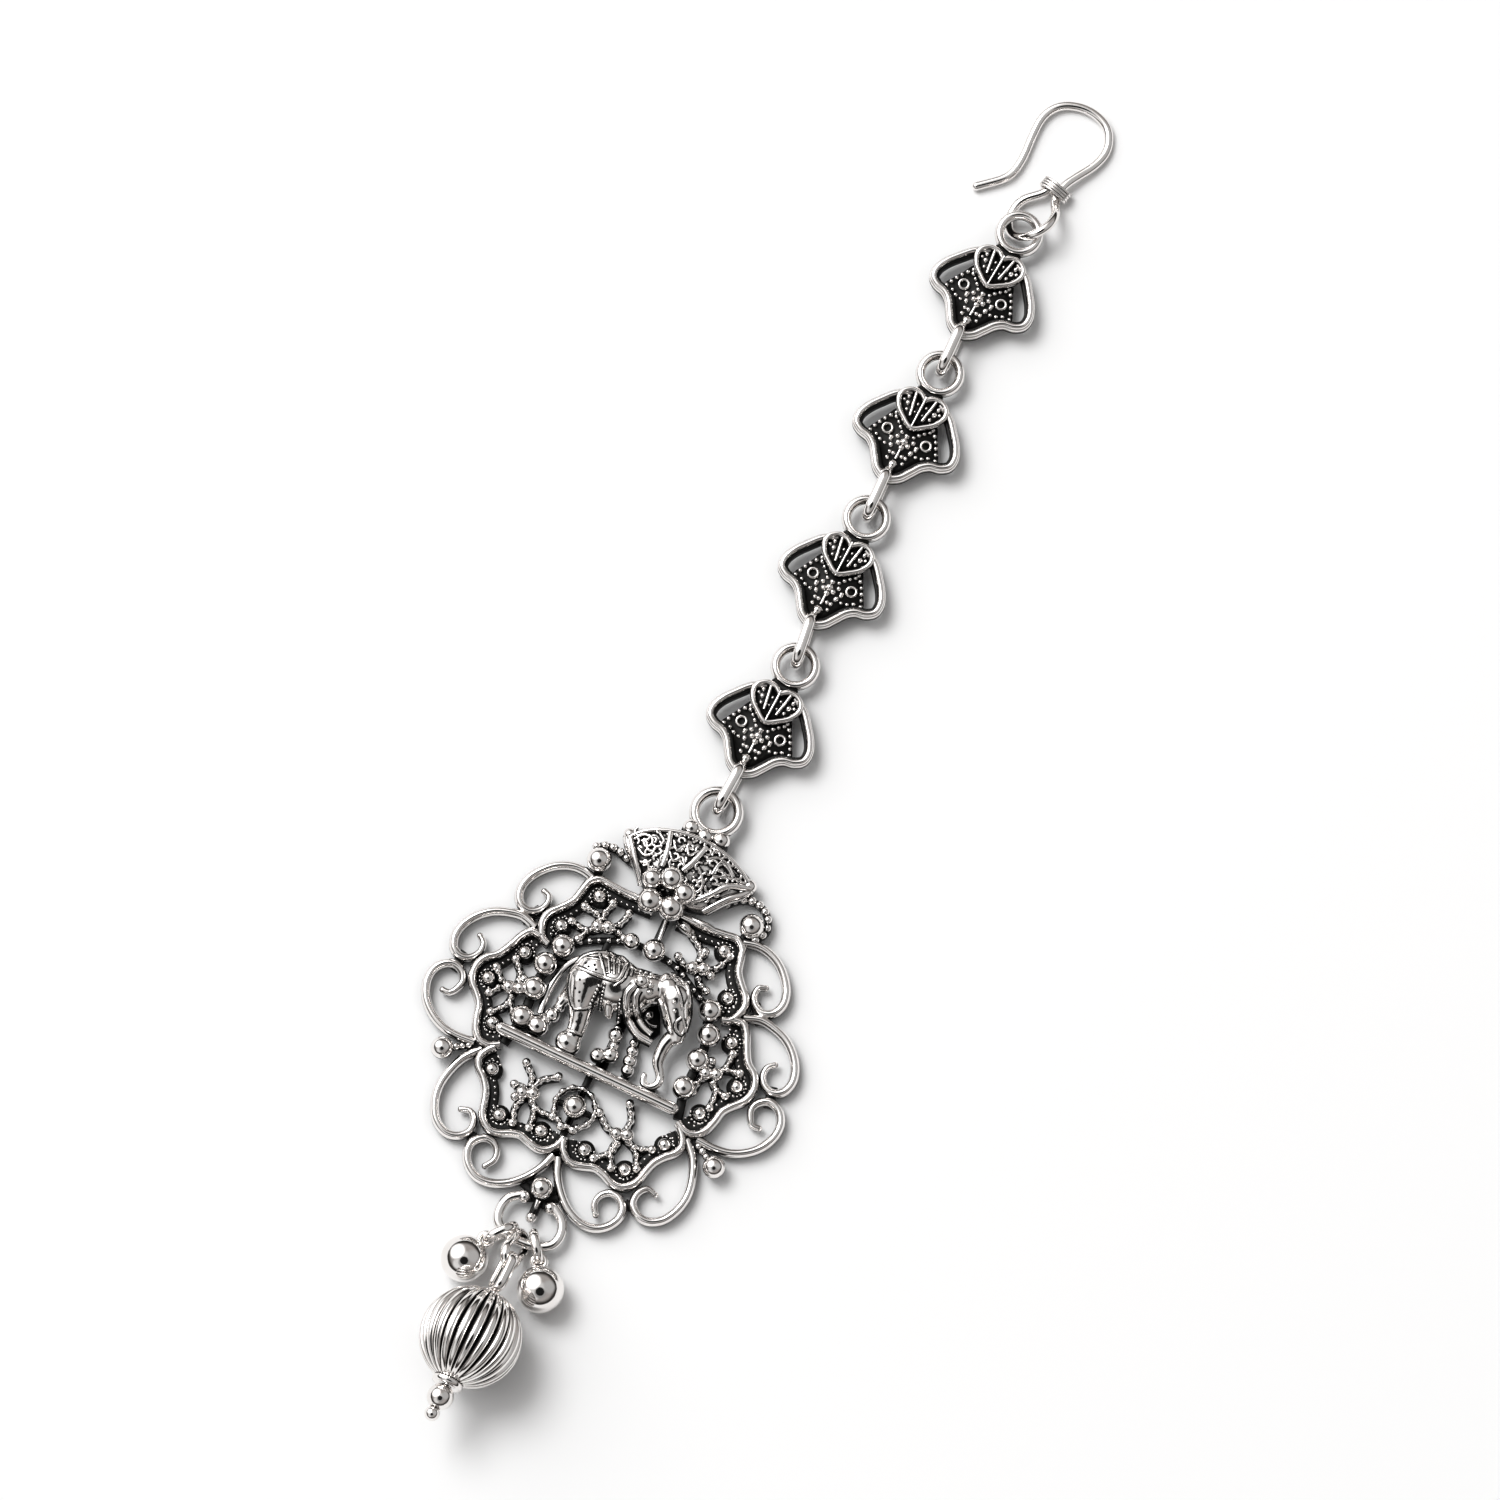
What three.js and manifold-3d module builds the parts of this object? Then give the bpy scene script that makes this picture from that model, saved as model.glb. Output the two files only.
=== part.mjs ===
// Maang tikka: a hair hook, four cast links on oval rings, a pierced elephant medallion and three drops.
// Millimetres, +Z up. The ornament lies face up on its back: the origin is the medallion's middle on its
// back plane, +Y runs along the chain to the hook, and +X is the way the elephant looks.
import * as THREE from "three";
import { mergeVertices } from "three/addons/utils/BufferGeometryUtils.js";
import Module from "manifold-3d";

const wasm = await Module();
wasm.setup();

// Clearances
const FIT_GAP = 0.16; // between two rings that hang in each other
const LAY_GAP = 0.2; // between a link and the ring strand below it

// Medallion
const MEDALLION_HALF_WIDTH = 20; // middle line to the widest scroll
const CAST_WIRE = 0.95; // width of the rim and scroll wires
const RIM_HEIGHT = 2.2;
const RIM_FLANGE = 1.0; // how far the rim's foot reaches inward
const SCROLL_HEIGHT = 1.8;
const WEB_THICKNESS = 0.9; // flat back of the pierced filigree
const SPRAY_WIRE = 0.6;
const SPRAY_HEIGHT = 1.4;
const CROWN_HEIGHT = 3.4;
const MEDALLION_EYE_RADIUS = 2.85;
const ELEPHANT_HEIGHT = 5;

// Links and their rings
const LINK_DROP = 13.35; // from the middle of a link's eye to its lowest bar
const LINK_HEIGHT = 1.7;
const LINK_WIRE = 0.66;
const LINK_FIELD = 1.0; // thickness of the granulated field
const HEART_WIRE = 0.6; // edge of the heart under each eye
const HEART_RELIEF = 0.8; // how far that edge stands over the heart's floor
const GRAIN_RADIUS = 0.45;
const EYE_RADIUS = 2.6;
const EYE_WIRE = 0.9;
const EYE_HEIGHT = 1.4;
const JUMP_LENGTH = 6.65;
const JUMP_HEIGHT = 4.0;
const JUMP_WIRE = 0.85;
const JUMP_SLACK = 0.4; // how far a ring reaches past the middle of the eye below it

// Hair hook
const HOOK_WIRE = 1.0;
const BINDING_WIRE = 0.3;
const BINDING_TURNS = 4;
const BINDING_LENGTH = 1.25;

// Drops
const LOOP_WIRE = 0.9;
const DROP_RING_WIRE = 0.6;
const DROP_RING_HEIGHT = 3.4;
const CENTRE_RING_WIDTH = 3.2;
const BALL_RADIUS = 2.35;
const BALL_EYE_WIRE = 0.5;
const BEAD_RADIUS = 5.35;
const BEAD_WALL = 0.7;
const BEAD_RIBS = 22;
const BEAD_GROOVE = 0.09; // depth of its grooves, as a share of its radius
const BEAD_COLLAR_RADIUS = 1.7;
const BEAD_COLLAR_LENGTH = 0.45;
const PIN_WIRE = 0.65;
const PIN_EYE_LENGTH = 4.8;
const PIN_EYE_WIDTH = 2.6;
const PIN_TILT = 10; // degrees that the drop's tip is raised
const PIN_ROLL = 28; // degrees that the pin's eye is rolled off its edge
const SPACER_RADIUS = 1.25;
const TIP_RADIUS = 0.8;

const castMetal = new THREE.MeshStandardMaterial({ color: 0x8c8a87, roughness: 0.3, metalness: 1 });
const brightMetal = new THREE.MeshStandardMaterial({ color: 0xd8d4d0, roughness: 0.14, metalness: 1 });

// Shares below are percents of the medallion's half width, as x, y; the left half mirrors the right
// half, so each list follows the right side.
const SHARE = MEDALLION_HALF_WIDTH / 100;
const RIM_LOBES = [
  [[7.5, 72], [25, 71.8], [39.5, 73], [45.8, 64], [50, 53], [57.5, 43], [55.5, 33.5], [50, 30]],
  [[55, 32.5], [61.5, 32.5], [68, 21.5], [76.5, 11], [80, 0], [75, -8], [68.5, -20], [63, -30.5],
    [56.5, -31.8], [51, -29]],
  [[53, -31.5], [58, -38], [56, -44.5], [48, -53.5], [44.8, -65], [37, -72.5], [27, -69.8],
    [21.5, -68.5], [10, -71.3], [3.5, -68], [0, -60.5]],
];
const SCROLLS = [
  [[43, 72.5], [56, 74], [70, 64.5], [76, 50.5], [68.5, 42.5], [60.5, 48], [64, 55.5]],
  [[60, 35.5], [77, 37.5], [91.5, 28.5], [97, 14.5], [89.5, 6], [81, 12.5], [85, 20]],
  [[64, -33], [83.5, -32], [97.5, -21], [100, -6.5], [91, 1], [83.5, -5.5], [86, -14], [91, -14]],
  [[59, -35], [70, -52.5], [69.5, -71.5], [57.5, -83], [47, -76.5], [50.5, -67], [56, -68]],
  [[1.5, -70], [10.5, -88], [25.5, -97.5], [40, -93.5], [42.5, -81], [33, -77], [29, -86], [32, -90.5]],
];

// Short flat bridges, from one x, y to another.
const BRIDGES = [
  { from: [62, 46], to: [69, 36] },
  { from: [88, 9], to: [91, -2] },
  { from: [58, -33], to: [68, -36] },
  { from: [42, -79], to: [50, -78] },
  { from: [66, -34], to: [78, -43] },
  { from: [42, 71], to: [42, 84] },
  { from: [0, -89], to: [12, -88] },
  { from: [7.5, -98], to: [12, -89] },
];

// Balls that both halves have: x, y and radius, all as shares; some stand a few mm aside of a point of
// the rim.
const PAIRED_BALLS = [
  { at: [78, -43], radius: 5 },
  { at: [42, 83], radius: 5 },
  { at: [42.5, 32], radius: 5.25 },
  { at: [47, 19.8], radius: 5.25 },
  { at: [47, 5.5], radius: 5.25 },
  { at: [46.5, -11], radius: 5.25 },
  { at: [35.5, 64.5], radius: 3 },
  { at: [48.5, 42], radius: 3 },
  { at: [68, 21.5], aside: [-1.7, -0.06], radius: 3 },
  { at: [80, 0], aside: [-1.7, 0.2], radius: 3 },
  { at: [68.5, -20], aside: [-1.8, 0], radius: 3 },
  { at: [49.5, -42.5], radius: 3 },
  { at: [36, -63.5], radius: 3 },
  { at: [12.8, -62.5], radius: 3 },
];
// The disc under the ball below the elephant
const COLLET = { at: [-1.5, -43.5], radius: 11.5 };
// Balls of the middle: x, y and radius, and the height of the ball's middle in mm.
const MIDDLE_BALLS = [
  { at: [2.5, 49], radius: 5.75, z: 1.6 },
  { at: [-10.5, 49], radius: 4, z: 1.4 },
  { at: [-1.5, -43.5], radius: 5.75, z: 1.6 },
  { at: [0.5, -89.5], radius: 5.25, z: 1.5 },
  { at: [-6, -97], radius: 3, z: 1.4 },
  { at: [9, -97], radius: 3, z: 1.4 },
  { at: [-8.5, 72], radius: 6, z: 3.0 },
  { at: [4.5, 73], radius: 6, z: 3.0 },
];
// The cluster on the crown: x, y, radius and how far each ball's middle stands over the dome, in mm.
const CROWN_BALLS = [
  { at: [-12, 82], radius: 4.75, lift: 0.61571 },
  { at: [-2, 87.5], radius: 5.25, lift: 0.320847 },
  { at: [8, 82], radius: 4.75, lift: 0.535501 },
];
// Sprays of the filigree: the middle of each and the ends of its stems.
const SPRAYS = [
  { hub: [27.5, 50], ends: [[16, 66], [27, 67], [39.5, 69], [51.5, 41], [37, 38], [13, 50]] },
  { hub: [56.5, 1.5], ends: [[64, 18], [73, 7], [71, -7.5], [65, -17], [49, -9], [49, 9]] },
  { hub: [27, -46.8], ends: [[24, -24], [11, -41], [48, -46], [39, -68], [28, -67], [9, -65]] },
];
// Flat strips that the border balls and the elephant's back lie on.
const BORDER_STRIP = [[50, -27], [47, -11], [47.5, 12], [43, 32], [50, 36]];
const BACK_STRIP = [[-43, 32], [-31, 41], [-10.5, 49], [2.5, 49], [15, 47], [32, 38], [43, 32]];
const TIES = [
  [[-22, 47], [-22, 30]],
  [[18, 47], [18, 30]],
  [[1, 47], [1, 76]],
  [[-1.5, -22], [-1.5, -64]],
];
const CROWN_EDGE = [[0, 114.8], [13, 113.5], [25, 109], [36.5, 102.5], [36, 98], [27, 90], [18, 79],
  [0, 76]];
const CROWN_DOME = { middle: 97, across: 46, along: 27 };
const CROWN_ENDS = [[-35, 101], [34.5, 101]];
const CROWN_RIBS = [
  [[-33, 98], [-18, 82]],
  [[-15, 110], [-12, 93]],
  [[5, 110], [0, 95]],
  [[35, 99], [24, 96], [10, 81]],
];
const DROP_LOOP = [
  [-6.5, -96], [-13, -101], [-15, -107.5], [-13.5, -114], [-8, -118], [2, -119.5],
  [12, -118], [18, -114], [19.5, -107.5], [17, -101], [10.5, -96],
];
const EYE_AT = [2, 130.5];

// The elephant, as shares of the same half width; radii too.
const BAR = { from: [-53.5, -21.5], to: [46, -24], width: 1.1, height: 3.2 };
const ELEPHANT_ROUNDS = [
  { at: [-16, 24], radii: [17, 15.5], height: 0.96 },
  { at: [2, 24], radii: [12.5, 14.5], height: 0.9 },
  { at: [17.5, 31], radii: [9.5, 11.5], height: 1 },
];
const ELEPHANT_LIMBS = [
  { height: 2.6, knots: [{ at: [-20, 15], radius: 6.5 }, { at: [-17.5, -8], radius: 3.4 },
    { at: [-18.5, -15], radius: 4.6 }] },
  { height: 1.6, knots: [{ at: [-28, 15], radius: 5 }, { at: [-33.5, -5], radius: 2.6 },
    { at: [-37, -12.5], radius: 4.4 }] },
  { height: 2.4, knots: [{ at: [0, 14], radius: 5.2 }, { at: [3, -4], radius: 3 },
    { at: [1.5, -14.5], radius: 4.4 }] },
  { height: 1.8, knots: [{ at: [12, 17], radius: 4 }, { at: [13.5, -5], radius: 2.6 },
    { at: [15.5, -13.5], radius: 3.8 }] },
  { height: 2.9, knots: [{ at: [22, 31], radius: 7.5 }, { at: [31.5, 16], radius: 5 },
    { at: [28, 5], radius: 3.5 }, { at: [28.5, -6], radius: 3 }, { at: [31, -13], radius: 2.6 }] },
  { height: 1.2, knots: [{ at: [-28, 29], radius: 1.8 }, { at: [-38.5, 12], radius: 1.5 },
    { at: [-40, -7], radius: 2 }] },
];
const EAR = [[4, 34], [0.5, 22], [6, 11], [16, 5.5], [24, 6]];
const BLANKET = { from: [-32, 27], to: [-8, 41], lift: 1.06 };

// A link's outlines: percents of its drop from the eye, right half, x, y down from the eye.
const FRAME_EDGE = [[17, 27], [31.5, 42], [39, 51], [42.5, 60.5], [40.5, 69], [34.5, 72.7], [27, 73.4],
  [21, 78], [16, 86], [10.5, 94], [4.5, 99], [0, 100]];
const HEART_EDGE = [[13.1, 23], [21.7, 32.2], [16.5, 42], [8.2, 48], [0, 53]];
const FIELD_EDGE = [[0, 40], [19, 43], [24, 54], [29, 66], [26.5, 71], [19.5, 76], [14, 84], [9, 87],
  [0, 87.2]];
const HEART_RIBS = [
  [[-6.5, 24], [-4.8, 46.4]],
  [[0, 24], [0, 46.4]],
  [[6.5, 24], [4.8, 46.4]],
];
const LINK_GRAINS = [[0, 82.5], [17, 61]];

// The chain's course: how far each ring and each link turns from +Y, in degrees, medallion end first.
const CHAIN_TURNS = [
  { ring: -4.5, link: -3.5 },
  { ring: 5.5, link: -3.4 },
  { ring: -0.4, link: -3.1 },
  { ring: -0.4, link: -6.3 },
];

// The hook's course from the middle of the first link's eye: x, y and height of the wire's middle.
const HOOK_COURSE = [
  [-6.5, 3.5, 0.5], [-5.4, 4.4, 0.5], [-3.7, 6, 0.5], [-3.2, 8.3, 0.5], [-3.25, 11.3, 0.5],
  [-3.05, 13.8, 0.5], [-1.8, 15.6, 0.5], [1, 16.4, 0.5], [3.8, 15.4, 0.5], [4.85, 13, 0.5],
  [4.3, 10.8, 0.6], [3, 8.7, 0.8], [2.15, 7.1, 0.98], [1.94, 5.8, 1], [2.05, 5, 1],
  [2.65, 3.9, 2], [2.85, 2.8, 2.8],
  [2.6, 1.5, 3.3], [1.7, 0.3, 3.1], [0.5, -0.25, 1.9], [-0.8, -0.1, 0.8], [-1.65, 0.8, 0.5],
  [-1.85, 2.4, 0.5], [-1.3, 4.1, 0.7], [-0.05, 5.1, 0.85], [0.85, 5.95, 0.95], [0.98, 6.8, 1],
];
const HOOK_NECK = { at: [1.52, 6.45], turn: -14, across: 1.64, up: 0.93, z: 1.01 };

const degrees = (angle) => THREE.MathUtils.degToRad(angle);
const heading = (turn) => new THREE.Vector3(-Math.sin(degrees(turn)), Math.cos(degrees(turn)), 0);
const point = ([x, y], z = 0) => new THREE.Vector3(x, y, z);
const shared = ([x, y], z = 0) => new THREE.Vector3(x * SHARE, y * SHARE, z);
const mirrored = (points) => points.map(([x, y]) => [-x, y]).reverse();

// Solids and their joins
function solid(geometry) {
  const bare = geometry.clone();
  bare.deleteAttribute("normal");
  bare.deleteAttribute("uv");
  const merged = mergeVertices(bare, 1e-4);
  const vertProperties = merged.getAttribute("position").array;
  const triVerts = new Uint32Array(merged.index.array);
  return new wasm.Manifold(new wasm.Mesh({ numProp: 3, vertProperties, triVerts }));
}

function joined(solids) {
  return solids.reduce((whole, one) => whole.add(one));
}

function named(name, body, material) {
  const { numProp, vertProperties, triVerts } = body.getMesh();
  const geometry = new THREE.BufferGeometry();
  const places = new THREE.InterleavedBuffer(vertProperties, numProp);
  geometry.setAttribute("position", new THREE.InterleavedBufferAttribute(places, 3, 0));
  geometry.setIndex(new THREE.BufferAttribute(triVerts, 1));
  const mesh = new THREE.Mesh(geometry, material);
  mesh.name = name;
  return mesh;
}

// Sections, as [across, up] points
function roundSection(width, height, sides, bottom = 0) {
  return Array.from({ length: sides }, (_, i) => {
    const angle = (2 * Math.PI * (i + 0.5)) / sides;
    return [Math.cos(angle) * width / 2, bottom + height / 2 + Math.sin(angle) * height / 2];
  });
}

function bandSection(width, height) {
  return [[-width / 2, 0], [width / 2, 0], [width / 2, height], [-width / 2, height]];
}

// A rod of one section along a flat or bent course; "across" points to the left of the way it runs.
function rod(course, section, steps) {
  const curve = course.length > 2 ? new THREE.CatmullRomCurve3(course) : new THREE.LineCurve3(...course);
  const shape = new THREE.Shape(section.map(([across, up]) => new THREE.Vector2(-up, across)));
  return solid(new THREE.ExtrudeGeometry(shape, { steps, bevelEnabled: false, extrudePath: curve }));
}

function slab(outline, bottom, top) {
  const shape = new THREE.Shape(outline.map(([x, y]) => new THREE.Vector2(x, y)));
  const geometry = new THREE.ExtrudeGeometry(shape, { depth: top - bottom, bevelEnabled: false });
  return solid(geometry.translate(0, 0, bottom));
}

function ball(centre, radius, sides = 10, flat = 1, rows = Math.ceil(sides / 2.5)) {
  const geometry = new THREE.SphereGeometry(radius, sides, rows);
  return solid(geometry.rotateX(Math.PI / 2).scale(1, 1, flat).translate(centre.x, centre.y, centre.z));
}

// A flat ring about +Z, round or drawn out along Y.
function ring({ length, width, wire, height = wire, sides = 6, around = 16 }) {
  const geometry = new THREE.TorusGeometry((width - wire) / 2, wire / 2, sides, around);
  const places = geometry.getAttribute("position");
  const stretch = (length - width) / 2;
  for (let i = 0; i < places.count; i += 1) {
    const y = places.getY(i);
    places.setY(i, y + (Math.abs(y) < 1e-6 ? 0 : Math.sign(y) * stretch));
  }
  return geometry.scale(1, 1, height / wire);
}

// A rounded rod of changing size along a flat course: a turned form, bent onto the course.
function bentRod(course, { width, height, middle, sides, steps, size }) {
  const curve = new THREE.CatmullRomCurve3(course);
  const rows = Array.from({ length: steps + 1 }, (_, i) => new THREE.Vector2(1, i / steps));
  const profile = [new THREE.Vector2(0, 0), ...rows, new THREE.Vector2(0, 1)];
  const form = new THREE.LatheGeometry(profile, sides);
  const places = form.getAttribute("position");
  for (let i = 0; i < places.count; i += 1) {
    const along = places.getY(i);
    const spot = curve.getPoint(along);
    const way = curve.getTangent(along);
    const share = size(along) / 2;
    spot.x += way.y * places.getX(i) * width * share;
    spot.y -= way.x * places.getX(i) * width * share;
    places.setXYZ(i, spot.x, spot.y, middle + places.getZ(i) * height * share);
  }
  return solid(form);
}

// A limb whose radius follows its knots, with rounded ends.
function limb(knots, height) {
  const spans = knots.length - 1;
  const size = (along) => {
    const [before, share] = [Math.min(Math.floor(along * spans), spans - 1), along * spans];
    const radius = THREE.MathUtils.lerp(knots[before].radius, knots[before + 1].radius, share - before);
    return 2 * SHARE * radius * (along === 0 || along === 1 ? 0.6 : 1);
  };
  const course = knots.map(({ at }) => shared(at));
  return bentRod(course, { width: 1, height: 1, middle: height, sides: 5, steps: spans * 2, size });
}

// The medallion: one cast solid with a flat back
function medallionRim() {
  const half = CAST_WIRE / 2;
  const section = [
    [-half - RIM_FLANGE, 0], [half, 0], [half * 0.6, RIM_HEIGHT], [-half * 0.6, RIM_HEIGHT],
    [-half, WEB_THICKNESS],
  ];
  return RIM_LOBES.flatMap((lobe) => [lobe, mirrored(lobe)].map((edge) => (
    rod(edge.map((one) => shared(one)), section, Math.round(edge.length * 1.3)))));
}

function scrolls() {
  const form = { width: CAST_WIRE, height: SCROLL_HEIGHT, middle: SCROLL_HEIGHT / 2, sides: 5 };
  const size = (along) => (along < 0.7 ? 1 : 1 - (along - 0.7));
  return SCROLLS.flatMap((course) => [1, -1].map((side) => {
    const steps = Math.round(course.length * 1.5);
    return bentRod(course.map(([x, y]) => shared([side * x, y])), { ...form, steps, size });
  }));
}

// A spray: flat stems that run out from one middle.
function spray(hub, ends) {
  const middle = new THREE.Vector2(hub.x, hub.y);
  const ways = ends.map((end) => new THREE.Vector2(end.x, end.y).sub(middle));
  ways.sort((one, other) => one.angle() - other.angle());
  const half = SPRAY_WIRE / 2;
  const outline = ways.flatMap((way, i) => {
    const next = ways[(i + 1) % ways.length];
    const side = new THREE.Vector2(-way.y, way.x).setLength(half);
    const between = way.clone().normalize().add(next.clone().normalize()).setLength(half * 1.6);
    return [way.clone().sub(side), way.clone().add(side), between].map((one) => one.add(middle));
  });
  return slab(outline.map(({ x, y }) => [x, y]), 0, SPRAY_HEIGHT);
}

function filigree() {
  const parts = [];
  const bridge = bandSection(CAST_WIRE, WEB_THICKNESS);
  for (const side of [1, -1]) {
    const turned = ([x, y]) => shared([side * x, y]);
    for (const { hub, ends } of SPRAYS) parts.push(spray(turned(hub), ends.map(turned)));
    for (const { from, to } of BRIDGES) parts.push(rod([turned(from), turned(to)], bridge, 1));
    parts.push(rod(BORDER_STRIP.map(turned), bandSection(1.6, WEB_THICKNESS), 4));
    for (const { at, aside = [0, 0], radius: share } of PAIRED_BALLS) {
      const radius = share * SHARE;
      const small = share < 4;
      const rise = small ? radius * 1.2 : WEB_THICKNESS + radius * 0.6;
      const middle = turned(at).add(point([side * aside[0], aside[1]], rise));
      parts.push(ball(middle, radius, small ? 6 : 8, small ? 1.6 : 1, 3));
    }
    parts.push(sideCollet(turned));
  }
  const strip = bandSection(1.1, WEB_THICKNESS);
  parts.push(rod(BACK_STRIP.map((one) => shared(one)), strip, 6));
  for (const [from, to] of TIES) parts.push(rod([shared(from), shared(to)], strip, 1));
  const colletRadius = COLLET.radius * SHARE;
  const collet = new THREE.CylinderGeometry(colletRadius, colletRadius, WEB_THICKNESS, 12);
  const seat = shared(COLLET.at, WEB_THICKNESS / 2);
  parts.push(solid(collet.rotateX(Math.PI / 2).translate(seat.x, seat.y, seat.z)));
  for (const { at, radius, z } of MIDDLE_BALLS) {
    parts.push(ball(shared(at, z), radius * SHARE, 8, 1, radius < 4 ? 3 : 4));
  }
  return parts;
}

// The granulated arc round the ball beside the crown.
function sideCollet(turned) {
  const arc = [[26, 88], [33, 93.5], [41, 95], [48, 90], [50, 82], [47, 73]].map(turned);
  return rod(arc, roundSection(CAST_WIRE, SPRAY_HEIGHT * 1.2, 5), 6);
}

// A point on the crown's dome, or below it
function onDome([x, y], sunk) {
  const { middle, across, along } = CROWN_DOME;
  const share = 1 - (x / across) ** 2 - ((y - middle) / along) ** 2;
  return shared([x, y], CROWN_HEIGHT * Math.sqrt(Math.max(share, 0)) - sunk);
}

function crown() {
  const edge = CROWN_EDGE.slice(1, -1);
  const outline = [CROWN_EDGE[0], ...edge, CROWN_EDGE[CROWN_EDGE.length - 1], ...mirrored(edge)];
  const { middle, across, along } = CROWN_DOME;
  const dome = new THREE.SphereGeometry(1, 12, 6).rotateX(Math.PI / 2);
  dome.scale(across * SHARE, along * SHARE, CROWN_HEIGHT).translate(0, middle * SHARE, 0);
  const plan = outline.map(([x, y]) => [x * SHARE, y * SHARE]);
  const body = slab(plan, 0, CROWN_HEIGHT * 2).intersect(solid(dome));
  const back = slab(plan, 0, WEB_THICKNESS);
  const ribs = CROWN_RIBS.map((run) => (
    rod(run.map((one) => onDome(one, 0.8)), roundSection(0.7, 1.3, 5), run.length - 1)));
  const ends = CROWN_ENDS.map((one) => ball(onDome(one, 0.2), 3.75 * SHARE, 6));
  const cluster = CROWN_BALLS.map(({ at, radius, lift }) => ball(onDome(at, -lift), radius * SHARE, 8, 1, 4));
  return [body, back, ...ribs, ...ends, ...cluster];
}

function eyeAndCollar() {
  const [x, y] = [EYE_AT[0] * SHARE, EYE_AT[1] * SHARE];
  const eyeMiddle = JUMP_WIRE + LAY_GAP + EYE_HEIGHT / 2;
  const eye = ring({ length: 2 * MEDALLION_EYE_RADIUS, width: 2 * MEDALLION_EYE_RADIUS,
    wire: EYE_WIRE + 0.05, height: EYE_HEIGHT, sides: 5, around: 14 });
  const collar = [-1.7, 0, 1.7].map((across) => (
    ball(new THREE.Vector3(x + across, y - MEDALLION_EYE_RADIUS + 0.2, eyeMiddle), 1.0, 8, 1.4)));
  return [solid(eye.translate(x, y, eyeMiddle)), ...collar];
}

function dropLoop() {
  const rise = DROP_RING_WIRE + LAY_GAP * 2;
  const loop = rod(DROP_LOOP.map((one) => shared(one)), roundSection(LOOP_WIRE, LOOP_WIRE, 6, rise), 16);
  const stub = rod([shared([1.5, -88]), shared([1.5, -105])], bandSection(0.9, 1.2), 1);
  return [loop, stub, ball(shared([1.5, -105.5], 1.1), 0.6, 8)];
}

function elephant() {
  const parts = ELEPHANT_ROUNDS.map(({ at, radii, height }) => {
    const round = new THREE.SphereGeometry(1, 10, 6).rotateX(Math.PI / 2);
    round.scale(radii[0] * SHARE, radii[1] * SHARE, ELEPHANT_HEIGHT * height * 0.62);
    const centre = shared(at, ELEPHANT_HEIGHT * height * 0.38);
    return solid(round.translate(centre.x, centre.y, centre.z));
  });
  const cloth = new THREE.SphereGeometry(1, 10, 6).rotateX(Math.PI / 2);
  const { at, radii } = ELEPHANT_ROUNDS[0];
  const side = BLANKET.lift * SHARE;
  cloth.scale(radii[0] * side, radii[1] * side, ELEPHANT_HEIGHT * 0.63);
  cloth.translate(at[0] * SHARE, at[1] * SHARE, ELEPHANT_HEIGHT * 0.38);
  const [left, low] = BLANKET.from;
  const [right, high] = BLANKET.to;
  const window = [[left, low], [right, low + 2], [right, high], [left, high]];
  const square = window.map(([x, y]) => [x * SHARE, y * SHARE]);
  parts.push(solid(cloth).intersect(slab(square, 1, ELEPHANT_HEIGHT * 2)));
  for (const { height, knots } of ELEPHANT_LIMBS) parts.push(limb(knots, height));
  parts.push(rod(EAR.map((one) => shared(one, ELEPHANT_HEIGHT * 0.5)), roundSection(1.1, 2.1, 5), 5));
  parts.push(rod([shared(BAR.from), shared(BAR.to)], bandSection(BAR.width, BAR.height), 1));
  const legWeb = [[-2, 12], [6, 12], [6, -24], [-2, -24]].map(([x, y]) => [x * SHARE, y * SHARE]);
  parts.push(slab(legWeb, 0, WEB_THICKNESS));
  return parts;
}

function medallion() {
  const whole = joined([
    ...medallionRim(), ...scrolls(), ...filigree(), ...crown(), ...eyeAndCollar(), ...dropLoop(),
    ...elephant(),
  ]);
  const reach = MEDALLION_HALF_WIDTH * 2;
  const below = slab([[-reach, -reach], [reach, -reach], [reach, reach], [-reach, reach]], -reach, 0);
  return whole.subtract(below);
}

// The frame's section leans out toward the link's back: across points out of the link
const FRAME_SECTION = [[0.3, 0], [1.6, 0], [0.8, 1], [-0.4, 1], [-1, 0.72], [-1, 0.25]]
  .map(([across, up]) => [across * LINK_WIRE / 2, up * LINK_HEIGHT]);

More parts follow.
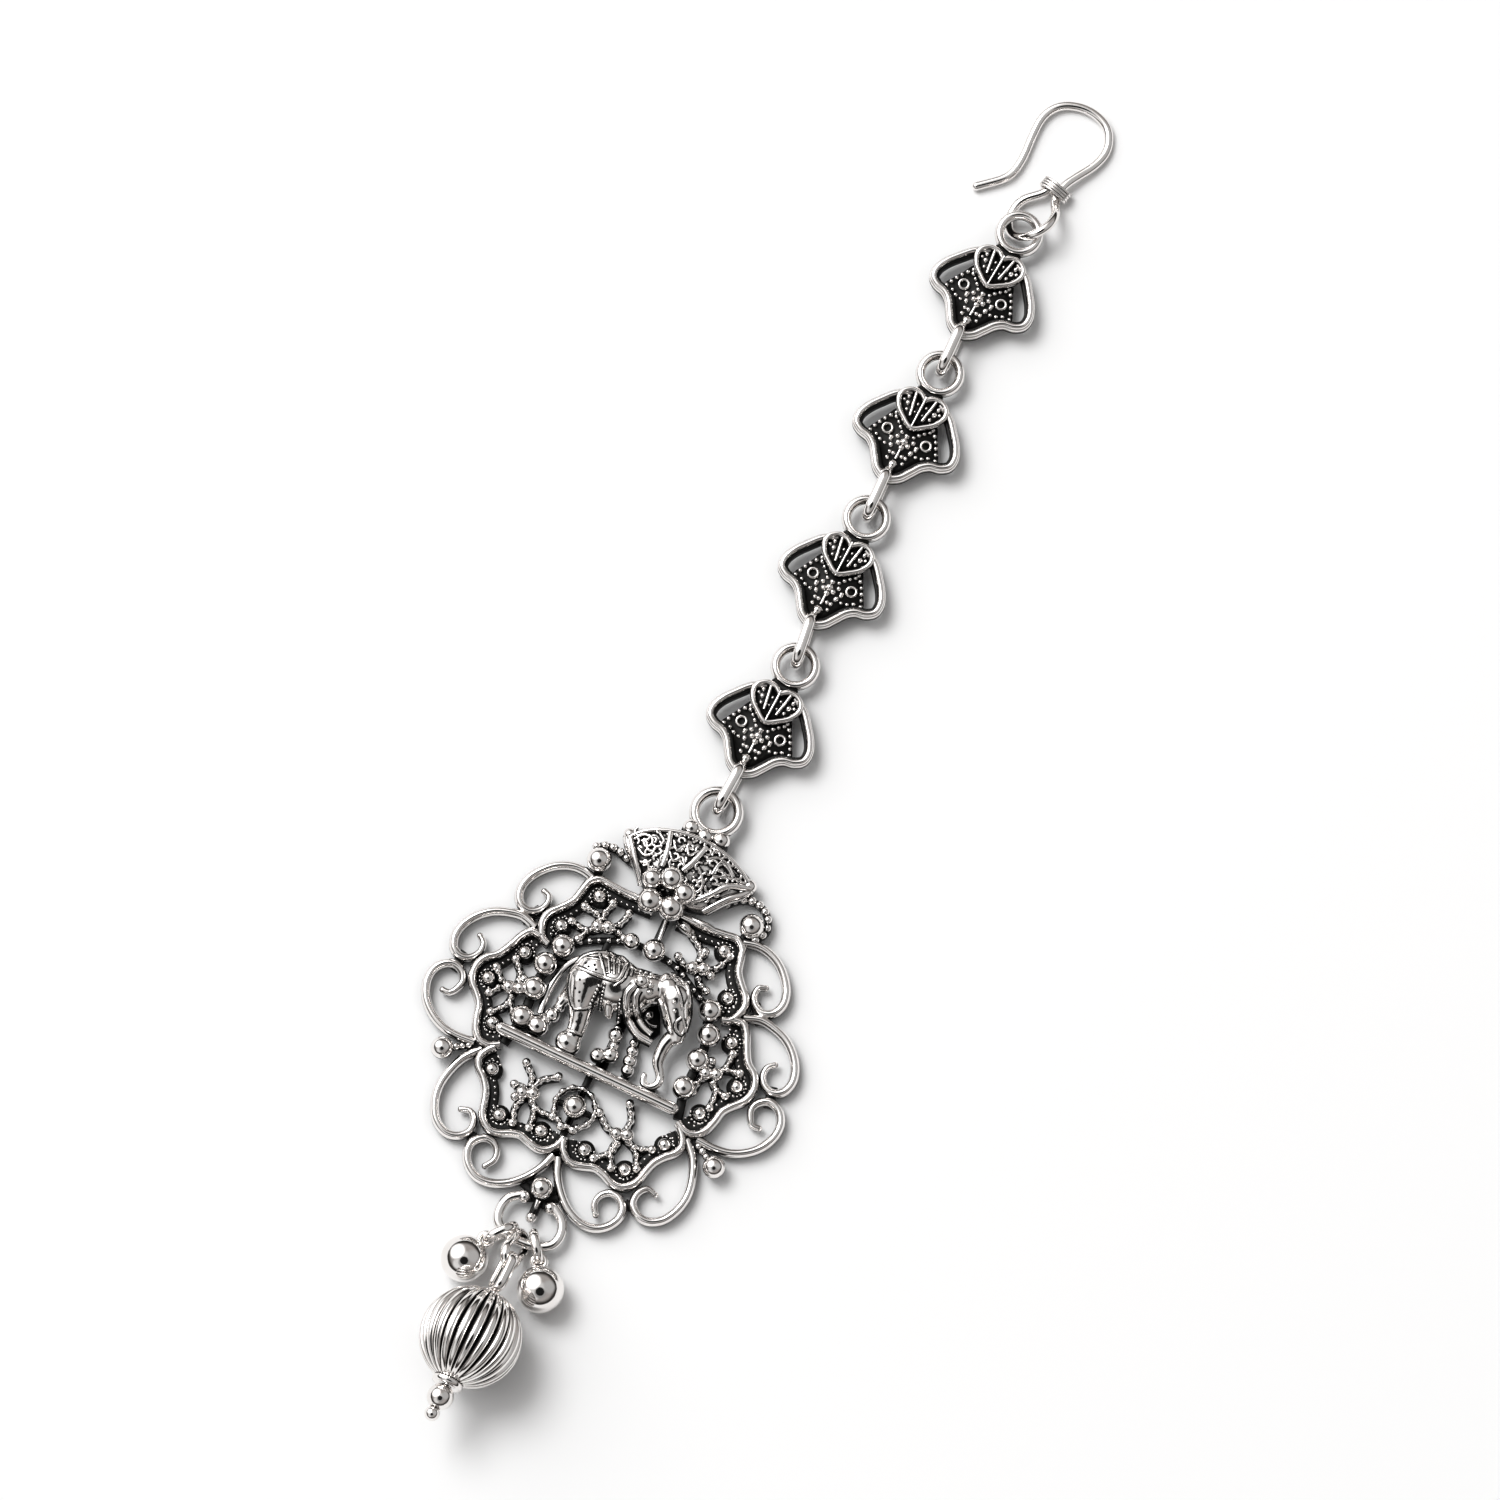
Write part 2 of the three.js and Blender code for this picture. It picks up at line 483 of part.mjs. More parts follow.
// One link, with its eye's middle at x = y = 0 and its back at z = 0
function link() {
  const part = LINK_DROP / 100;
  const down = ([x, y]) => [x * part, -y * part];
  const right = FRAME_EDGE.map(down);
  const frame = [...right, ...mirrored(right).slice(1)].map((one) => point(one));
  const heart = HEART_EDGE.map(down);
  const dip = [0.01, -HEART_EDGE[0][1] * part * 1.02];
  const heartRun = [dip, ...heart, ...mirrored(heart).slice(1), [-dip[0], dip[1]]];
  const field = FIELD_EDGE.map(down);
  const plate = [...field, ...mirrored(field.slice(1, -1))];
  const neck = [1.4, -EYE_RADIUS + 0.3];
  const heartFloor = [neck, ...heart, ...mirrored(heart).slice(1), [-neck[0], neck[1]]];
  const eye = ring({ length: 2 * EYE_RADIUS, width: 2 * EYE_RADIUS, wire: EYE_WIRE, height: EYE_HEIGHT,
    sides: 5, around: 12 });
  const top = LINK_HEIGHT + 0.3;
  const rim = roundSection(HEART_WIRE, 2 * HEART_WIRE, 4, top - 2 * HEART_WIRE);
  const rib = roundSection(HEART_WIRE * 0.7, 2 * HEART_WIRE, 3, top - 2 * HEART_WIRE);
  const grains = LINK_GRAINS.flatMap(([x, y]) => (x ? [[x, y], [-x, y]] : [[x, y]]));
  return joined([
    solid(eye.translate(0, 0, EYE_HEIGHT / 2)),
    rod(frame, FRAME_SECTION, 14),
    rod(heartRun.map((one) => point(one)), rim, 9),
    slab(heartFloor, 0, top - HEART_RELIEF),
    slab(plate, 0, LINK_FIELD),
    ...HEART_RIBS.map(([from, to]) => rod([point(down(from)), point(down(to))], rib, 1)),
    ...grains.map((one) => ball(point(down(one), LINK_FIELD + 0.1), GRAIN_RADIUS, 6, 1, 3)),
  ]);
}

// How far past the middle of a ring's bend a frame's bar can lie
function barReach() {
  const clear = JUMP_HEIGHT / 2 - JUMP_WIRE - FIT_GAP;
  return Math.min(...FRAME_SECTION.map(([across, up]) => {
    const rise = JUMP_WIRE + LAY_GAP + up - JUMP_HEIGHT / 2;
    return Math.sqrt(Math.max(clear ** 2 - rise ** 2, 0)) + across;
  }));
}

// The chain: each ring stands on edge through the eye below it and round the bar above it
function chain() {
  const group = new THREE.Group();
  const body = link();
  const loop = solid(ring({ length: JUMP_LENGTH, width: JUMP_HEIGHT, wire: JUMP_WIRE, around: 14 })
    .rotateY(Math.PI / 2));
  let eye = shared(EYE_AT);
  CHAIN_TURNS.forEach((turns, i) => {
    const number = CHAIN_TURNS.length - i;
    const ringWay = heading(turns.ring);
    const linkWay = heading(turns.link);
    const ringMesh = named(`jump_ring_${number}`, loop, brightMetal);
    ringMesh.position.copy(eye).addScaledVector(ringWay, JUMP_LENGTH / 2 - JUMP_SLACK);
    ringMesh.position.z = JUMP_HEIGHT / 2;
    ringMesh.rotation.z = degrees(turns.ring);
    const barAt = JUMP_LENGTH - JUMP_SLACK - JUMP_HEIGHT / 2 + barReach();
    const bar = eye.clone().addScaledVector(ringWay, barAt);
    eye = bar.addScaledVector(linkWay, LINK_DROP);
    const linkMesh = named(`link_${number}`, body, castMetal);
    linkMesh.position.set(eye.x, eye.y, JUMP_WIRE + LAY_GAP);
    linkMesh.rotation.z = degrees(turns.link);
    group.add(ringMesh, linkMesh);
  });
  return { group, end: eye };
}

// The hook and the wire bound round its neck
function hook() {
  const course = HOOK_COURSE.map((one) => new THREE.Vector3(...one));
  const section = roundSection(HOOK_WIRE, HOOK_WIRE, 6, -HOOK_WIRE / 2);
  return rod(course, section, 41);
}

function binding() {
  const { at, turn, across, up, z } = HOOK_NECK;
  const along = heading(turn);
  const side = new THREE.Vector3(along.y, -along.x, 0);
  const turnSteps = 9;
  const steps = BINDING_TURNS * turnSteps;
  const course = Array.from({ length: steps + 1 }, (_, i) => {
    const angle = (2 * Math.PI * i) / turnSteps;
    return point(at, z + up * Math.sin(angle))
      .addScaledVector(side, across * Math.cos(angle))
      .addScaledVector(along, BINDING_LENGTH * (i / steps - 0.5));
  });
  return rod(course, roundSection(BINDING_WIRE, BINDING_WIRE, 5, -BINDING_WIRE / 2), steps);
}

// A ring drawn out between two ends, lying square to a normal
function setRing(name, from, to, width, normal) {
  const long = to.clone().sub(from).normalize();
  const square = normal.clone().addScaledVector(long, -normal.dot(long)).normalize();
  const short = new THREE.Vector3().crossVectors(long, square);
  const length = from.distanceTo(to);
  const body = solid(ring({ length, width, wire: DROP_RING_WIRE, sides: 5, around: 14 }));
  const mesh = named(name, body, brightMetal);
  mesh.quaternion.setFromRotationMatrix(new THREE.Matrix4().makeBasis(short, long, square));
  mesh.position.copy(from).add(to).multiplyScalar(0.5);
  return mesh;
}

// Each ball hangs from a ring on the drop loop: where the ring starts, as shares, its way, and where the
// ball lies
const BALL_DROPS = [
  { side: "left", start: [-2.75, -112], way: [-0.65, -0.76], length: 4.0, ball: [-1.1, -2.72] },
  { side: "right", start: [5.25, -111], way: [0.57, -0.82], length: 3.8, ball: [1.24, -2.4] },
];

function ballDrops() {
  const group = new THREE.Group();
  const middle = DROP_RING_HEIGHT / 2;
  for (const { side, start, way: run, length, ball: lie } of BALL_DROPS) {
    const way = point(run).normalize();
    const from = shared(start, middle);
    const to = from.clone().addScaledVector(way, length);
    const level = new THREE.Vector3(way.y, -way.x, 0);
    group.add(setRing(`drop_ring_${side}`, from, to, DROP_RING_HEIGHT, level));
    const hole = to.clone().addScaledVector(way, -DROP_RING_WIRE / 2);
    const holeRadius = DROP_RING_WIRE / 2 + FIT_GAP;
    const reach = BALL_RADIUS + holeRadius + BALL_EYE_WIRE * 0.4;
    const centre = hole.clone().addScaledVector(point(lie).normalize(), reach).setZ(BALL_RADIUS);
    const eyeWidth = 2 * (holeRadius + BALL_EYE_WIRE);
    const eye = ring({ length: eyeWidth, width: eyeWidth, wire: BALL_EYE_WIRE, sides: 5, around: 12 });
    const whole = ball(centre, BALL_RADIUS, 12).add(solid(eye.translate(hole.x, hole.y, hole.z)));
    group.add(named(`ball_drop_${side}`, whole, brightMetal));
  }
  return group;
}

// The long drop, built along +Y from the bead's middle, then tilted and turned
const BEAD_FROM_LOOP = [-0.24, -11.6]; // from the lowest point of the drop loop
const DROP_TURN = -1.2;
const beadEnd = BEAD_RADIUS + BEAD_COLLAR_LENGTH;
const spacerMiddle = -(beadEnd + FIT_GAP / 2 + SPACER_RADIUS * 0.97);
const tipMiddle = spacerMiddle - SPACER_RADIUS * 0.97 - TIP_RADIUS * 0.95;
const pinEyeMiddle = BEAD_RADIUS * 0.98 + PIN_EYE_LENGTH / 2 + FIT_GAP;

function bead() {
  const rows = 5;
  const low = -Math.PI / 2 + 1.12 * Math.asin(BEAD_COLLAR_RADIUS / BEAD_RADIUS);
  const profile = [
    new THREE.Vector2(0, -beadEnd),
    new THREE.Vector2(BEAD_COLLAR_RADIUS, -beadEnd),
    new THREE.Vector2(BEAD_COLLAR_RADIUS, BEAD_RADIUS * Math.sin(low)),
  ];
  for (let row = 0; row < rows; row += 1) {
    const angle = low + ((Math.PI / 2 - low) * row) / rows;
    profile.push(new THREE.Vector2(BEAD_RADIUS * Math.cos(angle), BEAD_RADIUS * Math.sin(angle)));
  }
  profile.push(new THREE.Vector2(0, BEAD_RADIUS));
  const outside = new THREE.LatheGeometry(profile, BEAD_RIBS * 2);
  const places = outside.getAttribute("position");
  for (let i = 0; i < places.count; i += 1) {
    const [x, y, z] = [places.getX(i), places.getY(i), places.getZ(i)];
    const spoke = Math.round((Math.atan2(z, x) * BEAD_RIBS) / Math.PI);
    const grooved = Math.hypot(x, z) > BEAD_COLLAR_RADIUS * 1.05 && spoke % 2;
    const share = grooved ? 1 - BEAD_GROOVE : 1;
    places.setXYZ(i, x * share, y, z * share);
  }
  const inside = new THREE.SphereGeometry(BEAD_RADIUS - BEAD_WALL, 10, 5);
  const holeRadius = PIN_WIRE / 2 + FIT_GAP * 2;
  const hole = new THREE.CylinderGeometry(holeRadius, holeRadius, BEAD_RADIUS * 3, 8);
  return solid(outside).subtract(solid(inside)).subtract(solid(hole));
}

function spacer() {
  const hole = PIN_WIRE / 2 + FIT_GAP;
  const open = Math.asin(hole / SPACER_RADIUS);
  const rows = 6;
  const profile = Array.from({ length: rows + 1 }, (_, i) => {
    const angle = -Math.PI / 2 + open + ((Math.PI - 2 * open) * i) / rows;
    return new THREE.Vector2(SPACER_RADIUS * Math.cos(angle), SPACER_RADIUS * Math.sin(angle));
  });
  profile.push(profile[0].clone());
  return solid(new THREE.LatheGeometry(profile, 10).translate(0, spacerMiddle, 0));
}

function pin() {
  const eye = ring({ length: PIN_EYE_LENGTH, width: PIN_EYE_WIDTH, wire: PIN_WIRE, sides: 5, around: 14 });
  eye.rotateY(Math.PI / 2 + degrees(PIN_ROLL)).translate(0, pinEyeMiddle, 0);
  const low = new THREE.Vector3(0, tipMiddle, 0);
  const high = new THREE.Vector3(0, pinEyeMiddle - PIN_EYE_LENGTH / 2 + PIN_WIRE * 0.6, 0);
  const shaft = rod([low, high], roundSection(PIN_WIRE, PIN_WIRE, 6, -PIN_WIRE / 2), 1);
  return joined([solid(eye), shaft, ball(low, TIP_RADIUS, 10)]);
}

function loopLow() {
  const low = DROP_LOOP.reduce((lowest, one) => (one[1] < lowest[1] ? one : lowest));
  return shared(low, DROP_RING_WIRE + LAY_GAP * 2 + LOOP_WIRE / 2);
}

function longDrop() {
  const group = new THREE.Group();
  group.add(named("melon_bead", bead(), brightMetal));
  group.add(named("spacer_ball", spacer(), brightMetal));
  group.add(named("drop_pin", pin(), brightMetal));
  group.rotation.set(degrees(-PIN_TILT), 0, degrees(DROP_TURN), "ZXY");
  group.position.copy(loopLow().add(point(BEAD_FROM_LOOP))).setZ(BEAD_RADIUS);
  return group;
}

// The ring between the drop loop's bar and the pin's eye, square between the two wires that it holds
function centreRing(drop) {
  drop.updateMatrixWorld(true);
  const bar = loopLow();
  const bendMiddle = new THREE.Vector3(0, pinEyeMiddle + (PIN_EYE_LENGTH - PIN_EYE_WIDTH) / 2, 0);
  const bend = bendMiddle.applyMatrix4(drop.matrixWorld);
  const roll = Math.PI / 2 + degrees(PIN_ROLL);
  const flat = new THREE.Vector3(Math.sin(roll), 0, Math.cos(roll)).transformDirection(drop.matrixWorld);
  const toBar = bar.clone().sub(bend);
  toBar.addScaledVector(flat, -toBar.dot(flat)).normalize();
  const eyeWire = bend.clone().addScaledVector(toBar, (PIN_EYE_WIDTH - PIN_WIRE) / 2);
  const way = eyeWire.clone().sub(bar).normalize();
  const from = bar.clone().addScaledVector(way, -(LOOP_WIRE / 2 + FIT_GAP + DROP_RING_WIRE));
  const to = eyeWire.clone().addScaledVector(way, PIN_WIRE / 2 + FIT_GAP * 2.7 + DROP_RING_WIRE);
  const barRun = new THREE.Vector3(1, 0, 0);
  const eyeRun = new THREE.Vector3().crossVectors(flat, toBar);
  barRun.addScaledVector(way, -barRun.dot(way)).normalize();
  eyeRun.addScaledVector(way, -eyeRun.dot(way)).normalize();
  const normal = barRun.addScaledVector(eyeRun, Math.sign(barRun.dot(eyeRun)));
  return setRing("drop_ring_centre", from, to, CENTRE_RING_WIDTH, normal);
}

const tikka = new THREE.Group();
tikka.add(named("medallion", medallion(), castMetal));

const { group: chainGroup, end: hookEye } = chain();
const hookGroup = new THREE.Group();
hookGroup.add(named("hair_hook", hook(), brightMetal));
hookGroup.add(named("hook_binding", binding(), brightMetal));
hookGroup.position.copy(hookEye);

const drop = longDrop();
tikka.add(chainGroup, hookGroup, ballDrops(), drop, centreRing(drop));

export default tikka;
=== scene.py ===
import math

import bmesh
import bpy
import numpy as np
from mathutils import Matrix, Vector
from mathutils.bvhtree import BVHTree


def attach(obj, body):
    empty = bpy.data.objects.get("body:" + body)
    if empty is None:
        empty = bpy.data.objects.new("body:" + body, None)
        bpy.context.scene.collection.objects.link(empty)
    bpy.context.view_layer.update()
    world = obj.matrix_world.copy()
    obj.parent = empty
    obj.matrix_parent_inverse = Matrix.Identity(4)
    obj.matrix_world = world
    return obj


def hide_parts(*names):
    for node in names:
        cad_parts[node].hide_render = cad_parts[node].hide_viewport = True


# Maang tikka: hair hook, four cast links on oval rings, pierced elephant medallion, three drops.
# Shapes are drawn in millimetres, in the frame of the solids, and brought to metres at the end.
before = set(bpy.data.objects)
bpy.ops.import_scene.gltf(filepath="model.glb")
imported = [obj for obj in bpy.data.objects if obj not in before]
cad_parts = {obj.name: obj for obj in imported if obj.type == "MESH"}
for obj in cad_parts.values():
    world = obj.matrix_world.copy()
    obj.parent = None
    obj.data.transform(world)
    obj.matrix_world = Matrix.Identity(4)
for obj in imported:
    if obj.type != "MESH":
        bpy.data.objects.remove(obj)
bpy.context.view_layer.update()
scene = bpy.context.scene
metres = 0.001


# camera, floor and light
studio = {
    "azimuth": 24.0,  # so the chain leans to the right in the picture
    "elevation": 77.0,
    "aim": (0.9, 33.7, 2.0),
    "pictureWidth": 158.9,  # mm across the picture, at the aim
    "lens": 150.0,
    "sky": 1.04,
    "horizon": (0.035, 0.032, 0.03),
    "sides": (0.36, 0.34, 0.33),
    # lit panels: share towards the camera's side, to its right and up, cosines of its edge, light
    "panels": [(0, 0, 1, 0.8, 0.965, 0.66), (-0.5, -0.55, 0.72, 0.74, 0.94, 1.9),
               (-0.1, 0.75, 0.72, 0.8, 0.95, 0.45), (0.55, -0.5, 0.72, 0.86, 0.96, 0.75)],
    "cameraSide": 0.3,
    "below": 0.95,
    "cardSize": 0.935,  # cosine of the dark card's half angle
    "cardEdge": 0.012,
    "card": 0.012,
    "keyEnergy": 20.0,
    "keyWidth": 1.0,  # m
    "keyPlace": (0.8, -0.76, 1.6),  # m up the picture, to its right, over the floor
    "floorRadius": 1.2,  # m
    "floorTone": 0.93,
}


def feed(tree, socket, value):
    if isinstance(value, bpy.types.NodeSocket):
        tree.links.new(value, socket)
    else:
        socket.default_value = (*value, 1) if isinstance(value, tuple) else value


def ramped(tree, value, span=(0.0, 1.0), reach=(0.0, 1.0), smooth=False):
    ramp = tree.nodes.new("ShaderNodeMapRange")
    if smooth:
        ramp.interpolation_type = "SMOOTHSTEP"
    feed(tree, ramp.inputs["Value"], value)
    for label, number in zip(("From Min", "From Max", "To Min", "To Max"), (*span, *reach)):
        feed(tree, ramp.inputs[label], number)
    return ramp.outputs["Result"]


def mixed(tree, factor, below, above):
    mix = tree.nodes.new("ShaderNodeMix")
    mix.data_type = "RGBA"
    for socket, value in ((mix.inputs["Factor"], factor), (mix.inputs[6], below), (mix.inputs[7], above)):
        feed(tree, socket, value)
    return mix.outputs[2]


def makeCamera():
    turn, rise = math.radians(studio["azimuth"]), math.radians(studio["elevation"])
    back = Vector((math.sin(turn) * math.cos(rise), -math.cos(turn) * math.cos(rise), math.sin(rise)))
    data = bpy.data.cameras.new("camera")
    data.lens, data.sensor_width = studio["lens"], 36.0
    data.clip_start, data.clip_end = 0.01, 10.0
    camera = bpy.data.objects.new("camera", data)
    scene.collection.objects.link(camera)
    distance = studio["pictureWidth"] * studio["lens"] / data.sensor_width * metres
    camera.location = Vector(studio["aim"]) * metres + back * distance
    camera.rotation_mode = "QUATERNION"
    camera.rotation_quaternion = back.to_track_quat("Z", "Y")
    scene.camera = camera
    return back


def makeSky(back):
    world = bpy.data.worlds.new("lightTent")
    scene.world = world
    world.use_nodes = True
    tree = world.node_tree
    background = tree.nodes["Background"]
    background.inputs["Strength"].default_value = studio["sky"]
    way = tree.nodes.new("ShaderNodeTexCoord").outputs["Generated"]

    def facing(direction, low, high):  # 0 away from the direction, 1 near it
        dot = tree.nodes.new("ShaderNodeVectorMath")
        dot.operation = "DOT_PRODUCT"
        dot.inputs[1].default_value = Vector(direction).normalized()
        tree.links.new(way, dot.inputs[0])
        return ramped(tree, dot.outputs["Value"], (low, high), smooth=True)

    towards = Vector((back.x, back.y, 0)).normalized()  # the side that the camera stands on
    right = Vector((-towards.y, towards.x, 0))
    colour = mixed(tree, facing((0, 0, 1), 0.2, 0.5), studio["horizon"], studio["sides"])
    panels = [(towards * near + right * aside + Vector((0, 0, up)), low, high, light)
              for near, aside, up, low, high, light in studio["panels"]]
    panels.append((back + towards * 0.25, 0.84, 0.95, studio["cameraSide"]))
    panels.append(((0, 0, -1), -0.04, 0.0, studio["below"]))
    size = studio["cardSize"]
    panels.append((back + towards * 0.1, size, size + studio["cardEdge"], studio["card"]))
    for direction, low, high, light in panels:
        colour = mixed(tree, facing(direction, low, high), colour, (light, light, light))
    tree.links.new(colour, background.inputs["Color"])


def makeFloor():
    shape = bmesh.new()
    bmesh.ops.create_circle(shape, cap_ends=True, segments=96, radius=studio["floorRadius"])
    mesh = bpy.data.meshes.new("floor")
    shape.to_mesh(mesh)
    shape.free()
    floor = bpy.data.objects.new("floor", mesh)
    floor.location.z = -0.00003  # just under the lowest solid
    scene.collection.objects.link(floor)
    paper = bpy.data.materials.new("palePaper")
    paper.use_nodes = True
    shader = paper.node_tree.nodes["Principled BSDF"]
    tone = studio["floorTone"]
    shader.inputs["Base Color"].default_value = (tone, tone, tone, 1)
    shader.inputs["Roughness"].default_value = 0.9
    shader.inputs["Specular IOR Level"].default_value = 0.1
    mesh.materials.append(paper)


def makeKey(back):
    # a softbox over the picture's upper left, so that shadows fall to its lower right
    right = Vector((-back.y, back.x, 0)).normalized()
    upward = Vector((0, 0, 1)).cross(right)
    up, aside, high = studio["keyPlace"]
    aim = Vector(studio["aim"]) * metres
    spot = aim + upward * up + right * aside + Vector((0, 0, high))
    data = bpy.data.lights.new("softbox", "AREA")
    data.shape, data.size = "DISK", studio["keyWidth"]
    data.energy = studio["keyEnergy"]
    light = bpy.data.objects.new("softbox", data)
    light.location = spot
    light.rotation_mode = "QUATERNION"
    light.rotation_quaternion = (spot - aim).to_track_quat("Z", "Y")
    scene.collection.objects.link(light)


scene.view_settings.view_transform = "Standard"
cameraBack = makeCamera()
makeSky(cameraBack)
makeFloor()
makeKey(cameraBack)
print("studio ready")


# finishes
finishes = {
    "silver": (0.90, 0.875, 0.855),
    "warmShade": (0.74, 0.69, 0.66),
    "oxideAndShade": (0.006, 0.0055, 0.005),
    "shineFrom": (0.30, 0.62),  # share of patina and painted shade where the dark colour turns to silver
    "ragged": 0.16,
    # roughness, fine grain and slow dents
    "cast": (0.11, 0.12, 0.14),
    "bright": (0.07, 0.1, 0.22),
}


def silverMaterial(name, roughness, grain, dents):
    material = bpy.data.materials.new(name)
    material.use_nodes = True
    tree = material.node_tree
    nodes, links = tree.nodes, tree.links
    shader = nodes["Principled BSDF"]
    spot = nodes.new("ShaderNodeTexCoord").outputs["Object"]

    def noise(scale, detail):
        texture = nodes.new("ShaderNodeTexNoise")
        texture.inputs["Scale"].default_value = scale
        texture.inputs["Detail"].default_value = detail
        links.new(spot, texture.inputs["Vector"])
        return texture.outputs["Fac"]

    def bump(scale, detail, strength, distance):
        node = nodes.new("ShaderNodeBump")
        node.inputs["Strength"].default_value = strength
        node.inputs["Distance"].default_value = distance
        links.new(noise(scale, detail), node.inputs["Height"])
        return node

    patinaAndShade = nodes.new("ShaderNodeAttribute")
    patinaAndShade.attribute_name = "patinaAndShade"
    ragged = nodes.new("ShaderNodeMath")  # the edge of the oxide and painted shade wanders a little
    ragged.operation = "ADD"
    links.new(patinaAndShade.outputs["Fac"], ragged.inputs[0])
    stray = finishes["ragged"]
    links.new(ramped(tree, noise(2600, 3), reach=(-stray, stray)), ragged.inputs[1])
    shine = ramped(tree, ragged.outputs[0], finishes["shineFrom"], smooth=True)
    cloud = ramped(tree, noise(420, 4), reach=(0.35, 1.3))
    tone = mixed(tree, cloud, finishes["warmShade"], finishes["silver"])
    links.new(mixed(tree, shine, finishes["oxideAndShade"], tone), shader.inputs["Base Color"])
    links.new(ramped(tree, shine, reach=(0.55, 1.0)), shader.inputs["Metallic"])
    polished = ramped(tree, noise(900, 5), reach=(roughness * 0.75, roughness * 1.35))
    links.new(ramped(tree, shine, reach=(0.5, polished)), shader.inputs["Roughness"])
    fine, wavy = bump(5200, 3, grain, 0.00002), bump(520, 2, dents, 0.00012)
    links.new(fine.outputs["Normal"], wavy.inputs["Normal"])
    links.new(wavy.outputs["Normal"], shader.inputs["Normal"])
    return material


castSilver = silverMaterial("oxidisedCastSilver", *finishes["cast"])
brightSilver = silverMaterial("polishedSilver", *finishes["bright"])
print("finishes ready")


# paths and Geometry Nodes trees
def spatial(points, height=0.0):
    return np.array([(*one, height) if len(one) == 2 else one for one in points], float)


def smoothPath(points, spacing=0.25, closed=False):
    # centripetal spline through the knots
    knots = spatial(points)
    count = len(knots)
    course = []
    for i in range(count if closed else count - 1):
        start, end = knots[i], knots[(i + 1) % count]
        before = knots[i - 1] if i or closed else 2 * start - end
        after = knots[(i + 2) % count] if i + 2 < count or closed else 2 * end - start
        gaps = [max(np.linalg.norm(b - a), 1e-6) ** 0.5 for a, b in
                ((before, start), (start, end), (end, after))]
        leave = ((start - before) / gaps[0] - (end - before) / (gaps[0] + gaps[1])
                 + (end - start) / gaps[1]) * gaps[1]
        reach = ((end - start) / gaps[1] - (after - start) / (gaps[1] + gaps[2])
                 + (after - end) / gaps[2]) * gaps[1]
        steps = max(2, math.ceil(np.linalg.norm(end - start) / spacing))
        for step in range(steps):
            s = step / steps
            course.append((2 * s**3 - 3 * s**2 + 1) * start + (s**3 - 2 * s**2 + s) * leave
                          + (3 * s**2 - 2 * s**3) * end + (s**3 - s**2) * reach)
    if not closed:
        course.append(knots[-1])
    return np.array(course)


def mirrored(points):
    return [(-one[0], *one[1:]) for one in points]


def bothSides(points):
    return [points, mirrored(points)]


def shifted(path, aside, height=0.0):
    # moves a flat path to the right of the way it runs
    way = np.gradient(path, axis=0)
    way /= np.linalg.norm(way, axis=1, keepdims=True)
    moved = path + aside * np.stack([way[:, 1], -way[:, 0], 0 * way[:, 0]], axis=1)
    moved[:, 2] += height
    return moved


def pathMesh(runs):
    # a run is a line of points, or its points, the sizes along them and whether it closes
    places, edges, sizes = [], [], []
    for run in runs:
        points, size, closed = run if isinstance(run, tuple) else (run, 1.0, False)
        first = len(places)
        places += [tuple(one) for one in points]
        sizes += list(np.broadcast_to(size, len(points)))
        edges += [(first + i, first + i + 1) for i in range(len(points) - 1)]
        if closed:
            edges.append((first + len(points) - 1, first))
    mesh = bpy.data.meshes.new("paths")
    mesh.from_pydata(places, edges, [])
    mesh.attributes.new("size", "FLOAT", "POINT").data.foreach_set("value", sizes)
    return mesh


class Tree:
    def __init__(self, name, inputs):
        self.group = bpy.data.node_groups.new(name, "GeometryNodeTree")
        face = self.group.interface
        face.new_socket("Geometry", in_out="INPUT", socket_type="NodeSocketGeometry")
        for label, kind, value in inputs:
            socket = face.new_socket(label, in_out="INPUT", socket_type="NodeSocket" + kind)
            socket.default_value = value
        face.new_socket("Material", in_out="INPUT", socket_type="NodeSocketMaterial")
        face.new_socket("Geometry", in_out="OUTPUT", socket_type="NodeSocketGeometry")
        self.source = self.group.nodes.new("NodeGroupInput").outputs

    def node(self, kind, settings=None, **inputs):
        node = self.group.nodes.new(kind)
        for label, value in (settings or {}).items():
            setattr(node, label, value)
        for label, value in inputs.items():
            spaced = label.replace("_", " ")
            socket = node.inputs[int(label[1:])] if label[1:].isdigit() else node.inputs[spaced]
            if isinstance(value, bpy.types.NodeSocket):
                self.group.links.new(value, socket)
            else:
                socket.default_value = value
        return node.outputs

    def size(self):
        return self.node("GeometryNodeInputNamedAttribute", {"data_type": "FLOAT"}, Name="size")[0]

    def close(self, geometry):
        whole = self.node("GeometryNodeRealizeInstances", Geometry=geometry)[0]
        smooth = self.node("GeometryNodeSetShadeSmooth", Geometry=whole)[0]
        done = self.node("GeometryNodeSetMaterial", Geometry=smooth, Material=self.source["Material"])[0]
        self.group.links.new(done, self.group.nodes.new("NodeGroupOutput").inputs[0])
        return self.group


